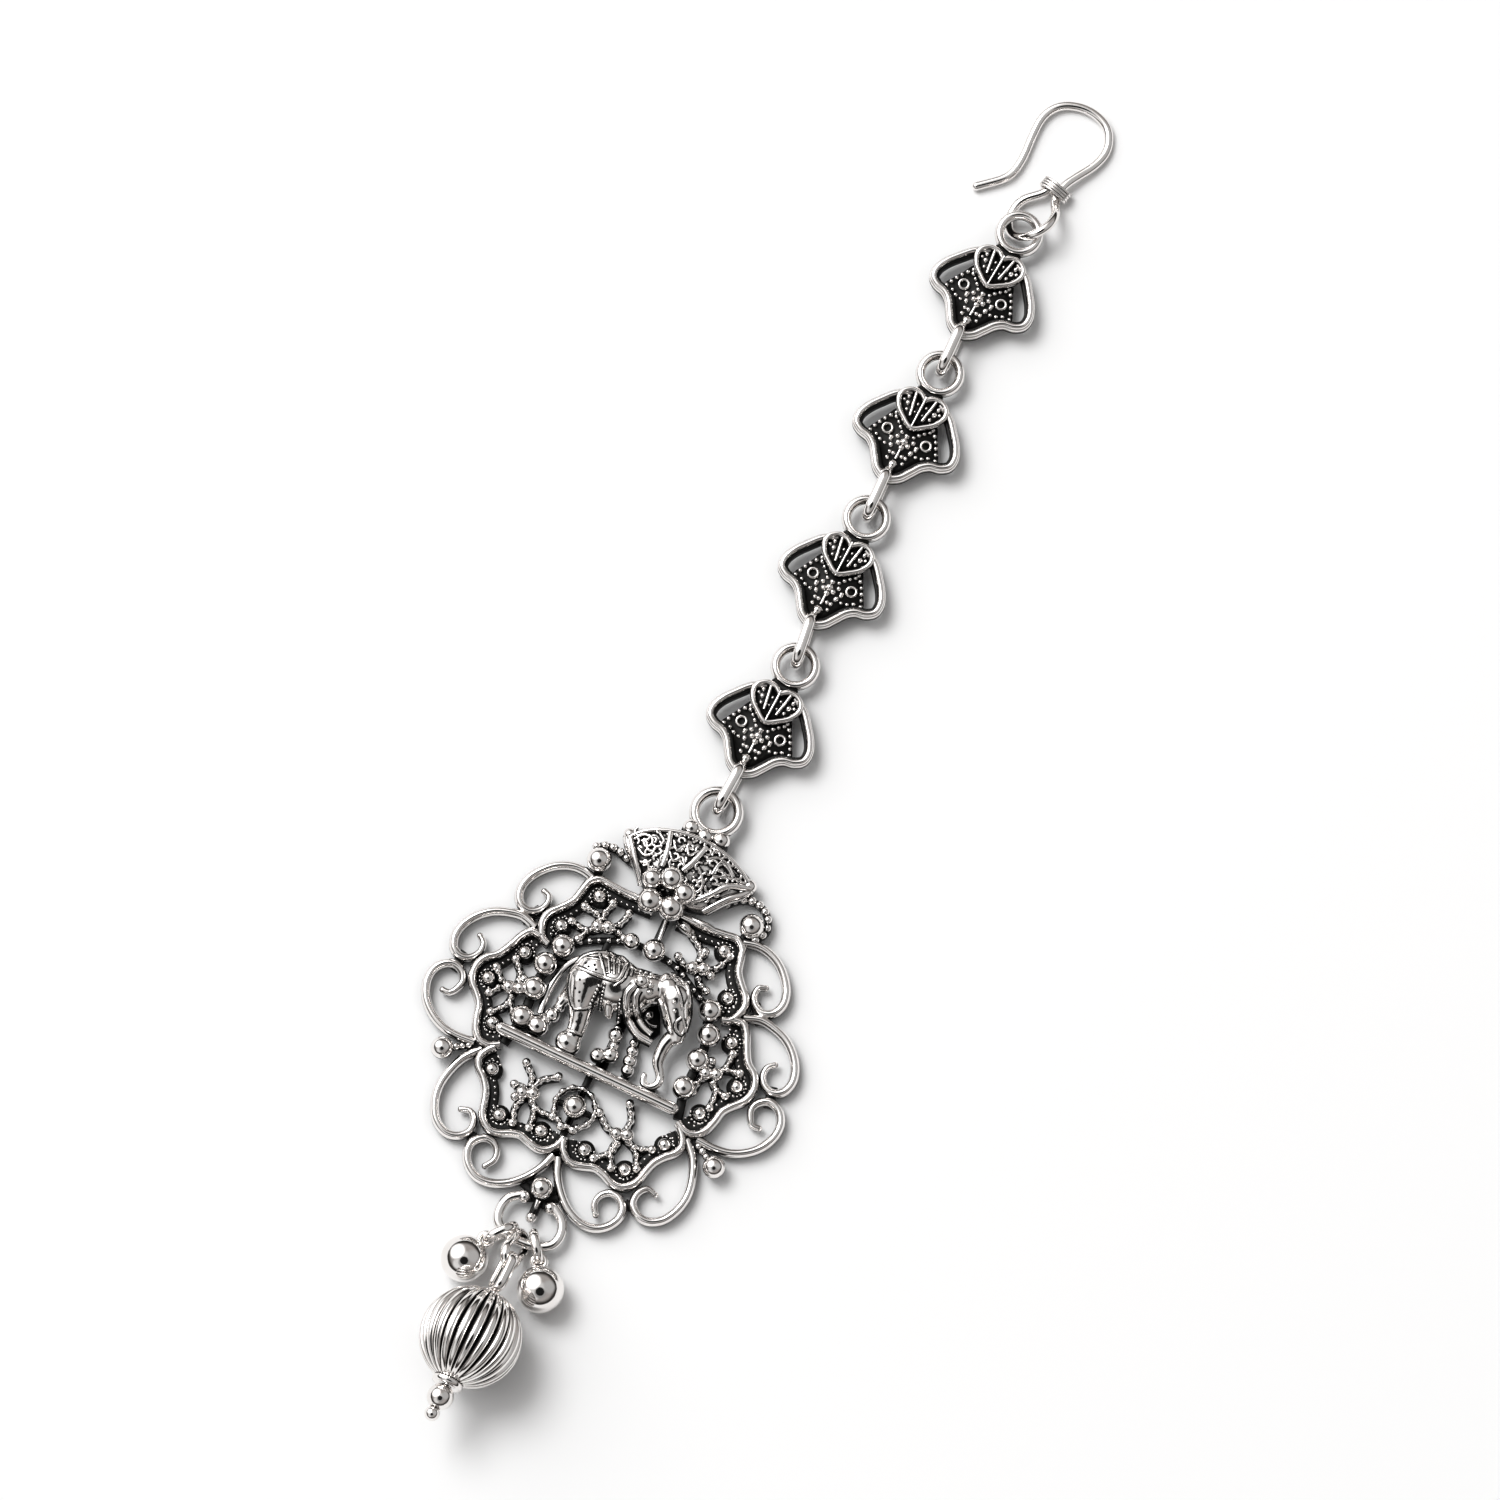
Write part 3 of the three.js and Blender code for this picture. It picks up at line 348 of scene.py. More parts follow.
def sweptTree(name, profile):
    tree = Tree(name, [("Width", "Float", 1.0), ("Height", "Float", 1.0), ("Sides", "Int", 16)])
    source = tree.source
    curve = tree.node("GeometryNodeMeshToCurve", Mesh=source["Geometry"])[0]
    upright = tree.node("GeometryNodeSetCurveNormal", {"mode": "Z_UP"}, Curve=curve)[0]
    if profile == "round":
        outline = tree.node("GeometryNodeCurvePrimitiveCircle", Resolution=source["Sides"], Radius=0.5)[0]
    else:
        square = tree.node("GeometryNodeCurvePrimitiveQuadrilateral", Width=1.0, Height=1.0)[0]
        outline = tree.node("GeometryNodeFilletCurve", {"mode": "POLY"}, Curve=square, Count=1,
                            Radius=0.16)[0]
    scale = tree.node("ShaderNodeCombineXYZ", X=source["Width"], Y=source["Height"], Z=1.0)[0]
    section = tree.node("GeometryNodeTransform", Geometry=outline, Scale=scale)[0]
    tube = tree.node("GeometryNodeCurveToMesh", Curve=upright, Profile_Curve=section,
                     Scale=tree.size(), Fill_Caps=True)[0]
    return tree.close(tube)


def granuleTree():
    tree = Tree("granuleChain", [("Spacing", "Float", 0.5), ("Size", "Float", 0.2), ("Seed", "Int", 1),
                                  ("Detail", "Int", 2)])
    source = tree.source
    curve = tree.node("GeometryNodeMeshToCurve", Mesh=source["Geometry"])[0]
    points = tree.node("GeometryNodeCurveToPoints", {"mode": "LENGTH"}, Curve=curve,
                       Length=source["Spacing"])[0]
    grain = tree.node("GeometryNodeMeshIcoSphere", Radius=1.0, Subdivisions=source["Detail"])[0]
    low = tree.node("ShaderNodeMath", {"operation": "MULTIPLY"}, _0=source["Size"], _1=0.86)[0]
    high = tree.node("ShaderNodeMath", {"operation": "MULTIPLY"}, _0=source["Size"], _1=1.12)[0]
    spread = tree.node("FunctionNodeRandomValue", {"data_type": "FLOAT"}, _2=low, _3=high,
                       Seed=source["Seed"])[1]
    grains = tree.node("GeometryNodeInstanceOnPoints", Points=points, Instance=grain, Scale=spread)[0]
    return tree.close(grains)


def ballTree():
    tree = Tree("balls", [("Segments", "Int", 32), ("Rings", "Int", 20)])
    source = tree.source
    ball = tree.node("GeometryNodeMeshUVSphere", Segments=source["Segments"], Rings=source["Rings"],
                     Radius=1.0)[0]
    points = tree.node("GeometryNodeMeshToPoints", Mesh=source["Geometry"])[0]
    balls = tree.node("GeometryNodeInstanceOnPoints", Points=points, Instance=ball, Scale=tree.size())[0]
    return tree.close(balls)


roundTree = sweptTree("roundWire", "round")
bandTree = sweptTree("flatBand", "band")
chainTree = granuleTree()
ballsTree = ballTree()


onePoint = [[(0, 0, 0)]]  # for trees that make their own shape


def grown(tree, runs, material, **inputs):
    host = bpy.data.objects.new("host", pathMesh(runs))
    scene.collection.objects.link(host)
    modifier = host.modifiers.new(tree.name, "NODES")
    modifier.node_group = tree
    values = {**inputs, "Material": material}
    for item in tree.interface.items_tree:
        if item.in_out == "INPUT" and item.name in values:
            modifier[item.identifier] = values[item.name]
    bpy.context.view_layer.update()
    graph = bpy.context.evaluated_depsgraph_get()
    mesh = bpy.data.meshes.new_from_object(host.evaluated_get(graph))
    host.modifiers.remove(modifier)
    bpy.data.objects.remove(host)
    return mesh


# pieces: parts are gathered, shaded by how open they lie, and set in the frame
class Piece:
    def __init__(self, material):
        self.material = material
        self.shape = bmesh.new()
        self.shape.verts.layers.float.new("polish")

    def add(self, mesh, polish=1.0, place=None):
        first = len(self.shape.verts)
        self.shape.from_mesh(mesh)
        self.shape.verts.ensure_lookup_table()
        layer = self.shape.verts.layers.float["polish"]
        for vert in self.shape.verts[first:]:
            vert[layer] = polish
            if place is not None:
                vert.co = place @ vert.co
        bpy.data.meshes.remove(mesh)

    def wires(self, runs, width, height, polish=1.0, sides=16, tree=None, place=None):
        mesh = grown(tree or roundTree, runs, self.material, Width=width, Height=height, Sides=sides)
        self.add(mesh, polish, place)

    def bands(self, runs, width, height, polish=0.0):
        thinned = [np.vstack([run[:-1:2], run[-1:]]) if len(run) > 8 else run for run in runs]
        self.wires(thinned, width, height, polish, tree=bandTree)

    def grains(self, paths, spacing, size, seed):
        self.add(grown(chainTree, paths, self.material, Spacing=spacing, Size=size, Seed=seed,
                       Detail=1 if size < 0.2 else 2))

    def balls(self, places, sizes, segments, polish=1.0):
        runs = [([one], size, False) for one, size in zip(places, np.broadcast_to(sizes, len(places)))]
        self.add(grown(ballsTree, runs, self.material, Segments=segments, Rings=segments * 5 // 8), polish)

    def shade(self, reach=1.1, rays=16, low=0.34, high=0.78, edge=(-0.9, -0.5)):
        # open places are polished bright, tight ones keep the black oxide; faces turned sideways or down
        # are darkened too, partly oxide on the cast walls and partly painted shade along the wire walls and
        # undersides
        mesh = bpy.data.meshes.new("shading")
        self.shape.to_mesh(mesh)
        count = len(mesh.vertices)
        places = np.empty(count * 3)
        mesh.vertices.foreach_get("co", places)
        places = places.reshape(-1, 3)
        normals = np.empty(count * 3)
        mesh.vertex_normals.foreach_get("vector", normals)
        normals = normals.reshape(-1, 3)
        tree = BVHTree.FromBMesh(self.shape)
        turn = math.pi * (3 - math.sqrt(5))
        steps = np.arange(rays)
        rise = 1 - 2 * (steps + 0.5) / rays
        flat = np.sqrt(1 - rise**2)
        globe = np.stack([flat * np.cos(turn * steps), flat * np.sin(turn * steps), rise], axis=1)
        openness = np.zeros(count)
        starts = places + normals * 0.012
        for ray in globe * 0.97:
            ways = normals + ray
            ways /= np.linalg.norm(ways, axis=1, keepdims=True)
            for i, (start, way) in enumerate(zip(starts.tolist(), ways.tolist())):
                distance = tree.ray_cast(start, way, reach)[3]
                openness[i] += 1.0 if distance is None else 0.8 * distance / reach
        openness /= rays
        bpy.data.meshes.remove(mesh)
        share = np.clip((openness - low) / (high - low), 0, 1)
        # painted shade: faces turned sideways or down take the dark colour as well
        facingShade = np.clip((normals[:, 2] - edge[0]) / (edge[1] - edge[0]), 0, 1)
        return share * share * (3 - 2 * share) * facingShade

    def mesh(self, name, shade=True, **shading):
        layer = self.shape.verts.layers.float.new("patinaAndShade")
        cover = self.shade(**shading) if shade else np.ones(len(self.shape.verts))
        polish = self.shape.verts.layers.float["polish"]
        for vert, share in zip(self.shape.verts, cover):
            vert[layer] = share * vert[polish]
        self.shape.verts.layers.float.remove(polish)
        bmesh.ops.scale(self.shape, vec=(metres,) * 3, verts=self.shape.verts)
        mesh = bpy.data.meshes.new(name)
        self.shape.to_mesh(mesh)
        self.shape.free()
        mesh.materials.clear()
        mesh.materials.append(self.material)
        mesh.polygons.foreach_set("material_index", [0] * len(mesh.polygons))
        mesh.polygons.foreach_set("use_smooth", [True] * len(mesh.polygons))
        return mesh

    def finish(self, name, slot, *nodes, **shading):
        place(self.mesh(name, **shading), name, slot, *nodes)


def place(mesh, name, slot, *nodes):
    piece = bpy.data.objects.new(name, mesh)
    scene.collection.objects.link(piece)
    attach(piece, "root")
    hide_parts(*nodes)
    print(name, len(mesh.polygons), "faces")


def sheetSolid(outline, low, high):
    # a flat plate of one outline
    shape = bmesh.new()
    lower = [shape.verts.new((x, y, low)) for x, y in outline]
    upper = [shape.verts.new((x, y, high)) for x, y in outline]
    shape.faces.new(upper)
    shape.faces.new(lower[::-1])
    for i in range(len(outline)):
        j = (i + 1) % len(outline)
        shape.faces.new((lower[i], lower[j], upper[j], upper[i]))
    bmesh.ops.recalc_face_normals(shape, faces=shape.faces)
    bmesh.ops.triangulate(shape, faces=[one for one in shape.faces if len(one.verts) > 4])
    mesh = bpy.data.meshes.new("plate")
    shape.to_mesh(mesh)
    shape.free()
    return mesh


def disc(x, y, radius, high, sides):
    turns = np.arange(sides) * 2 * math.pi / sides
    return sheetSolid([(x + radius * math.cos(t), y + radius * math.sin(t)) for t in turns], 0, high)


def ovalPath(length, width, around=64):
    # middle line of an oval ring, along Y
    turns = np.arange(around) * 2 * math.pi / around
    radius, stretch = width / 2, (length - width) / 2
    return np.array([(radius * math.cos(t), radius * math.sin(t)
                      + stretch * (0 if abs(math.sin(t)) < 1e-6 else math.copysign(1, math.sin(t))), 0)
                     for t in turns])


# medallion
medallionSizes = {
    "wire": 0.95,
    "rimHeight": 2.2,
    "scrollHeight": 1.8,
    "web": 0.9,
    "foot": (0.8, 1.25),  # black wall beside the rim: aside of the wire and width
    "rimGrains": (0.98, 0.66, 0.17),  # aside of the wire, spacing and radius
    "scrollTip": 0.36,
    "stem": 0.66,
    "stemHeight": 1.6,
    "stemWave": (0.26, 0.85),  # share of the width, mm
    "hub": 0.74,
    "knob": 0.5,
    "lobeBall": 0.72,
    "lobeRing": 0.98,
    "lobeDisc": (1.12, 0.85),  # radius and height
    "collet": 4.3,
}
rimLobes = [
    [(1.5, 14.4), (5, 14.35), (6.6, 14.5), (7.9, 14.6), (8.8, 13.9), (9.15, 12.8), (9.5, 11.4),
     (10.4, 10.2), (11.3, 9.2), (11.6, 8.2), (11.35, 7.2), (10.8, 6.3), (10.0, 6.0)],
    [(11.0, 6.5), (12.1, 6.6), (12.9, 5.8), (13.6, 4.3), (14.4, 2.9), (15.4, 2.1), (15.95, 1.1),
     (16.0, 0), (15.6, -1.0), (14.8, -1.8), (14.0, -2.8), (13.65, -4.2), (13.2, -5.4),
     (12.4, -6.2), (11.3, -6.35), (10.2, -5.8)],
    [(10.6, -6.3), (11.3, -7.1), (11.6, -8.0), (11.25, -8.9), (10.35, -9.75), (9.65, -10.7),
     (9.25, -11.8), (8.95, -13.0), (8.4, -13.9), (7.4, -14.5), (6.4, -14.4), (5.4, -13.95),
     (4.3, -13.7), (3.2, -14.0), (2.05, -14.25), (1.05, -13.95), (0.35, -13.15), (0, -12.1)],
]
scrollCourses = [
    [(8.6, 14.5), (10, 14.85), (11.3, 14.75), (12.8, 14.1), (14.1, 12.9), (15.0, 11.4),
     (15.15, 10.0), (14.6, 8.9), (13.6, 8.5), (12.6, 8.9), (12.0, 9.8), (12.1, 10.8), (12.8, 11.1)],
    [(12.0, 7.2), (13.8, 7.75), (15.4, 7.5), (16.9, 6.9), (18.3, 5.7), (19.2, 4.2), (19.4, 2.8),
     (18.9, 1.6), (17.9, 1.15), (16.9, 1.5), (16.3, 2.4), (16.35, 3.4), (17.0, 4.0)],
    [(12.8, -6.6), (15.0, -6.7), (16.7, -6.4), (18.35, -5.5), (19.5, -4.25), (20.1, -2.7),
     (20.0, -1.3), (19.25, -0.25), (18.2, 0.15), (17.2, -0.25), (16.65, -1.15), (16.85, -2.1),
     (17.4, -2.85), (18.2, -2.85)],
    [(11.8, -7.0), (13.2, -8.65), (13.95, -10.5), (14.25, -12.5), (13.85, -14.35), (12.9, -15.85),
     (11.5, -16.55), (10.2, -16.3), (9.35, -15.35), (9.45, -14.15), (10.2, -13.4), (11.15, -13.65)],
    [(0.3, -14.2), (0.95, -15.9), (2.1, -17.55), (3.5, -18.8), (5.1, -19.5), (6.7, -19.5),
     (8.0, -18.7), (8.7, -17.45), (8.6, -16.3), (7.7, -15.45), (6.65, -15.45), (5.85, -16.2),
     (5.75, -17.2), (6.35, -18.1)],
]
# small oxidised webs where neighbours meet: from, to, width
webs = [
    ((12.4, 9.2), (13.8, 7.4), 1.1), ((17.7, 1.8), (18.2, -0.4), 1.1), ((11.6, -6.4), (13.4, -7.2), 1.3),
    ((8.7, -15.8), (9.8, -15.6), 1.1), ((13.0, -6.9), (15.6, -8.6), 0.6), ((8.4, 14.2), (8.6, 16.8), 0.9),
    ((0, -17.8), (2.2, -17.4), 0.9), ((-1.2, -19.4), (2.2, -18.0), 0.8), ((0, -12.1), (0, -15), 1.3),
]
pairedBalls = [
    # x, y and radius, on both sides
    (15.6, -8.6, 1.2), (8.8, 16.4, 1.35), (8.5, 6.4, 1.28), (9.4, 3.95, 1.28), (9.4, 1.1, 1.28),
    (9.3, -2.2, 1.28),
]
lobeBalls = [
    # x, y and the way to the rim, in degrees
    (7.2, 12.9, 60), (9.6, 8.4, 10), (11.9, 4.25, 60), (14.3, 0.2, 0),
    (11.9, -4.0, -60), (9.9, -8.5, 10), (7.2, -12.6, -60), (2.5, -12.4, -100),
]
middleBalls = [
    # x, y, height and radius
    (0.5, 9.8, 2.2, 1.25), (-2.1, 9.8, 1.8, 0.9), (-0.3, -8.7, 2.0, 1.25), (0.1, -17.9, 1.6, 1.2),
    (-1.2, -19.4, 1.3, 0.7), (1.8, -19.4, 1.3, 0.7), (-0.8, -11.1, 1.4, 0.5), (0.5, -11.0, 1.4, 0.5),
]
# middle of each spray and the ends of its stems
rightSprays = [
    ((5.5, 10), [(3.2, 13.2), (5.4, 12), (8, 12.6), (7, 9.9), (7.2, 8.2), (3, 10.4)]),
    ((11.3, 0.3), [(12.5, 3.2), (14, 1.6), (13.6, -1.2), (12.6, -3), (10.3, -2.2), (10.8, 1.6)]),
    ((5.4, -9.35), [(4.8, -6), (2.3, -8.1), (8.9, -9.5), (8.3, -12), (5.8, -13), (3.7, -12.8)]),
]
leftSprays = [
    ((-5.5, 10), [(-8.2, 11.3), (-5.6, 12.8), (-3.6, 12.5), (-3, 9.8), (-7.4, 7.8), (-8.8, 9.3)]),
    ((-11.3, 0.3), [(-12.5, 3.2), (-14, 1.6), (-13.6, -1.2), (-12.6, -3), (-10.3, -2.2), (-10.8, 1.6)]),
    ((-5.4, -9.35), [(-6.9, -6.4), (-3.2, -6.4), (-7.1, -9), (-6.5, -10.2), (-5.6, -12.8),
                     (-3.8, -12.6), (-2, -10.5)]),
]


def rimAndScrolls(piece):
    sizes = medallionSizes
    wire, tall, web = sizes["wire"], sizes["rimHeight"], sizes["web"]
    footAside, footWidth = sizes["foot"]
    grainAside, spacing, grain = sizes["rimGrains"]
    rims, feet, beads = [], [], []
    for lobe in rimLobes:
        path = smoothPath(spatial(lobe), 0.36)
        for side in (1, -1):
            rims.append(path * (side, 1, 1) + (0, 0, tall / 2))
            feet.append(shifted(path, footAside, web / 2) * (side, 1, 1))
            beads.append(shifted(path, grainAside, web + 0.05) * (side, 1, 1))
    piece.wires(rims, wire, tall, sides=14)
    piece.bands(feet, footWidth, web)
    piece.grains(beads, spacing, grain, seed=3)
    tall = sizes["scrollHeight"]
    runs, tips = [], []
    for course in scrollCourses:
        path = smoothPath(spatial(course, tall / 2), 0.34)
        along = np.linspace(0, 1, len(path))
        taper = np.where(along < 0.7, 1.0, 1.0 - (along - 0.7) * 1.1)
        for side in (1, -1):
            runs.append((path * (side, 1, 1), taper, False))
            tips.append(path[-1] * (side, 1, 1))
    piece.wires(runs, wire + 0.05, tall, sides=14)
    piece.balls(tips, sizes["scrollTip"], 16)
    bridges = []
    for start, end, width in webs:
        for side in (1, -1):
            ends = spatial([start, end], web / 2) * (side, 1, 1)
            bridges.append((ends, width, False))
    piece.wires(bridges, 1.0, web, polish=0.15, tree=bandTree)


def stemPath(start, end, bow, height):
    start, end = np.array(start, float), np.array(end, float)
    run = end - start
    middle = (start + end) / 2 + bow * np.array([-run[1], run[0]])
    return smoothPath(spatial([start, middle, end], height), 0.15)


def sprays(piece):
    stem, tall = medallionSizes["stem"], medallionSizes["stemHeight"]
    wave, pitch = medallionSizes["stemWave"]
    runs, knobs, knobSizes = [], [], []
    for hub, ends in rightSprays + leftSprays:
        for i, end in enumerate(ends):
            path = stemPath(hub, end, 0.16 if i % 2 else -0.16, tall / 2)
            lengths = np.linspace(0, np.linalg.norm(np.subtract(end, hub)), len(path))
            swell = 1 + wave * np.cos(lengths * 2 * math.pi / pitch)
            runs.append((path, swell, False))
            knobs.append((*end, tall - 0.25))
            knobSizes.append(medallionSizes["knob"])
        for shift in (-0.55, 0.55):
            knobs.append((hub[0] + shift, hub[1] + shift * 0.3, tall + 0.1))
            knobSizes.append(medallionSizes["hub"])
    piece.wires(runs, stem, tall, sides=8)
    piece.bands([path - (0, 0, tall / 2 - 0.4) for path, _, _ in runs], 0.85, 0.8)
    piece.balls(knobs, knobSizes, 12)


def borders(piece):
    web = medallionSizes["web"]
    strips = bothSides([(10, -5.4), (9.4, -2.2), (9.5, 2.4), (8.6, 6.4), (10, 7.2)])
    piece.bands([smoothPath(spatial(one, web / 2), 0.4) for one in strips], 1.0, web)
    ties = [[(-8.6, 6.4), (-6.2, 8.2), (-2.1, 9.8), (0.5, 9.8), (3, 9.4), (6.4, 7.6), (8.6, 6.4)],
            [(-4.4, 9.2), (-4.4, 6)], [(3.6, 9.2), (3.6, 6)], [(0.2, 9.4), (0.2, 15.2)],
            [(-0.3, -4.4), (-0.3, -12.8)], [(0.4, 2.4), (0.4, -4.8)]]
    piece.bands([smoothPath(spatial(one, web / 2), 0.4) for one in ties], 0.75, web)
    arch = smoothPath(spatial(ties[0], web + 0.1), 0.2)
    piece.grains([arch], 0.95, 0.3, seed=23)
    necks = [smoothPath(spatial(run, 1.1), 0.2) for run in bothSides([(13.2, -7.1), (14.4, -7.85)])]
    piece.grains(necks, 0.6, 0.4, seed=25)
    places, sizes = [], []
    for x, y, radius in pairedBalls:
        for side in (1, -1):
            places.append((x * side, y, web + radius * 0.62))
            sizes.append(radius)
    for x, y, height, radius in middleBalls:
        places.append((x, y, height))
        sizes.append(radius)
    piece.balls(places, sizes, 22)
    small, arcs = [], []
    around = medallionSizes["lobeRing"]
    for x, y, way in lobeBalls:
        turns = np.radians(np.arange(way - 115, way + 116, 23))
        for side in (1, -1):
            small.append((x * side, y, 1.25))
            arcs.append(np.array([(side * (x + around * math.cos(t)), y + around * math.sin(t), 0.98)
                                  for t in turns]))
    piece.balls(small, medallionSizes["lobeBall"], 16)
    for x, y, _ in small:
        piece.add(disc(x, y, *medallionSizes["lobeDisc"], 20), 0)
    piece.grains(arcs, 0.41, 0.17, seed=7)
    # the ringed ball under the platform
    spot, across = (-0.3, -8.7), medallionSizes["collet"]
    ring = ovalPath(across, across) + (*spot, 0.8)
    swell = 1 + 0.25 * np.cos(np.arange(len(ring)) * 2 * math.pi * 12 / len(ring))
    piece.wires([(ring, swell, True)], 0.7, 1.6, sides=12)
    piece.add(disc(*spot, 1.1, web, 28), 0)
    cross = [[(-2.4, -8.7), (1.8, -8.7)], [(-0.3, -10.8), (-0.3, -6.6)]]
    piece.bands([spatial(run, web / 2) for run in cross], 0.6, web)
    # granulated arcs beside the crown
    right = [(5.4, 17.6), (6.4, 18.5), (7.6, 18.95), (8.9, 18.8), (10.0, 17.9), (10.4, 16.6),
             (9.7, 15.3)]
    left = [(-5.4, 17.6), (-6.6, 17.9), (-7.3, 18.2), (-8.2, 18.3), (-9.1, 18.1), (-9.7, 17.7)]
    for run in (right, left):
        path = smoothPath(spatial(run, 0.75))
        piece.wires([path], 0.85, 1.5, polish=0.2, sides=12)
        piece.grains([path + (0, 0, 0.75)], 0.84, 0.43, seed=11)
    # platform bar
    bar = smoothPath(spatial([(-10.7, -4.3), (-4, -4.5), (3, -4.65), (9.2, -4.8)], 1.6), 0.3)
    piece.wires([bar + (0, 0, 0.75)], 1.35, 1.7, sides=20)
    piece.bands([bar - (0, 0, 0.5)], 0.8, 2.2)
    piece.balls([(bar[0][0], bar[0][1], 2.4), (bar[-1][0], bar[-1][1], 2.4)], 0.62, 20)


crownSizes = {
    "middle": 19.4,
    "across": 9.2,
    "along": 5.4,
    "height": 3.4,
    "rings": 16,
    "chasingSeed": 4,
    "eye": 4.7,
    "eyeSection": (1.1, 1.45),
}
crownEdge = [(0, 22.96), (2.6, 22.7), (5, 21.8), (7.3, 20.5), (7.2, 19.6), (5.4, 18), (3.6, 15.8),
             (0, 15.2)]
crownCurls = [
    [(-6.2, 19.9), (-5.6, 20.6), (-4.7, 20.7), (-4.3, 20.0), (-4.8, 19.5), (-5.2, 19.9)],
    [(-5.4, 19.0), (-4.6, 18.6), (-3.9, 19.0), (-3.8, 19.8), (-3.2, 20.2)],
    [(-4.6, 17.8), (-3.9, 17.9), (-3.5, 17.3), (-3.6, 16.6)],
    [(-3.9, 21.3), (-3.3, 20.8), (-3.4, 20.2)],
    [(-2.3, 21.2), (-1.6, 20.4), (-0.9, 21.3), (-0.2, 20.4), (0.5, 21.2)],
    [(-2.2, 19.9), (-1.5, 19.2), (-0.8, 19.9), (-0.1, 19.2), (0.5, 19.8)],
    [(-1.9, 18.9), (-1.3, 18.3), (-0.6, 18.7)],
    [(1.6, 20.7), (2.6, 21.4), (3.9, 21.2), (5.0, 20.3)],
    [(2.8, 19.5), (3.2, 21.1), (4.9, 20.1), (2.9, 19.4)],
    [(1.2, 19.6), (2.0, 18.8), (2.4, 17.8), (2.0, 17.0)],
    [(3.2, 18.6), (4.0, 18.9), (4.9, 19.3)],
]
crownGrains = [[(-6.1, 20.6), (-5.0, 21.4), (-3.6, 22.0)], [(-2.5, 22.2), (0.9, 22.3)],
               [(1.6, 22.3), (3.4, 21.9), (5.6, 20.9)], [(-2.6, 19.8), (-2.4, 18.6)],
               [(1.0, 18.9), (1.5, 17.6), (1.4, 16.6)], [(3.0, 17.4), (4.2, 18.3)]]
crownRibs = [[(-6.7, 19.8), (-5.4, 18.0), (-3.9, 16.2)], [(-3.0, 21.9), (-2.5, 20.0), (-2.3, 18.2)],
             [(1.1, 21.9), (0.6, 20.2), (-0.1, 18.6)],
             [(7.0, 19.9), (5.0, 19.2), (3.4, 17.4), (2.0, 16.0)]]


def onCrown(points, lift):
    flat = np.array([one[:2] for one in points], float)
    aside = flat[:, 0] / crownSizes["across"]
    along = (flat[:, 1] - crownSizes["middle"]) / crownSizes["along"]
    height = crownSizes["height"] * np.sqrt(np.maximum(1 - aside**2 - along**2, 0.05)) + lift
    return np.column_stack([flat, height])


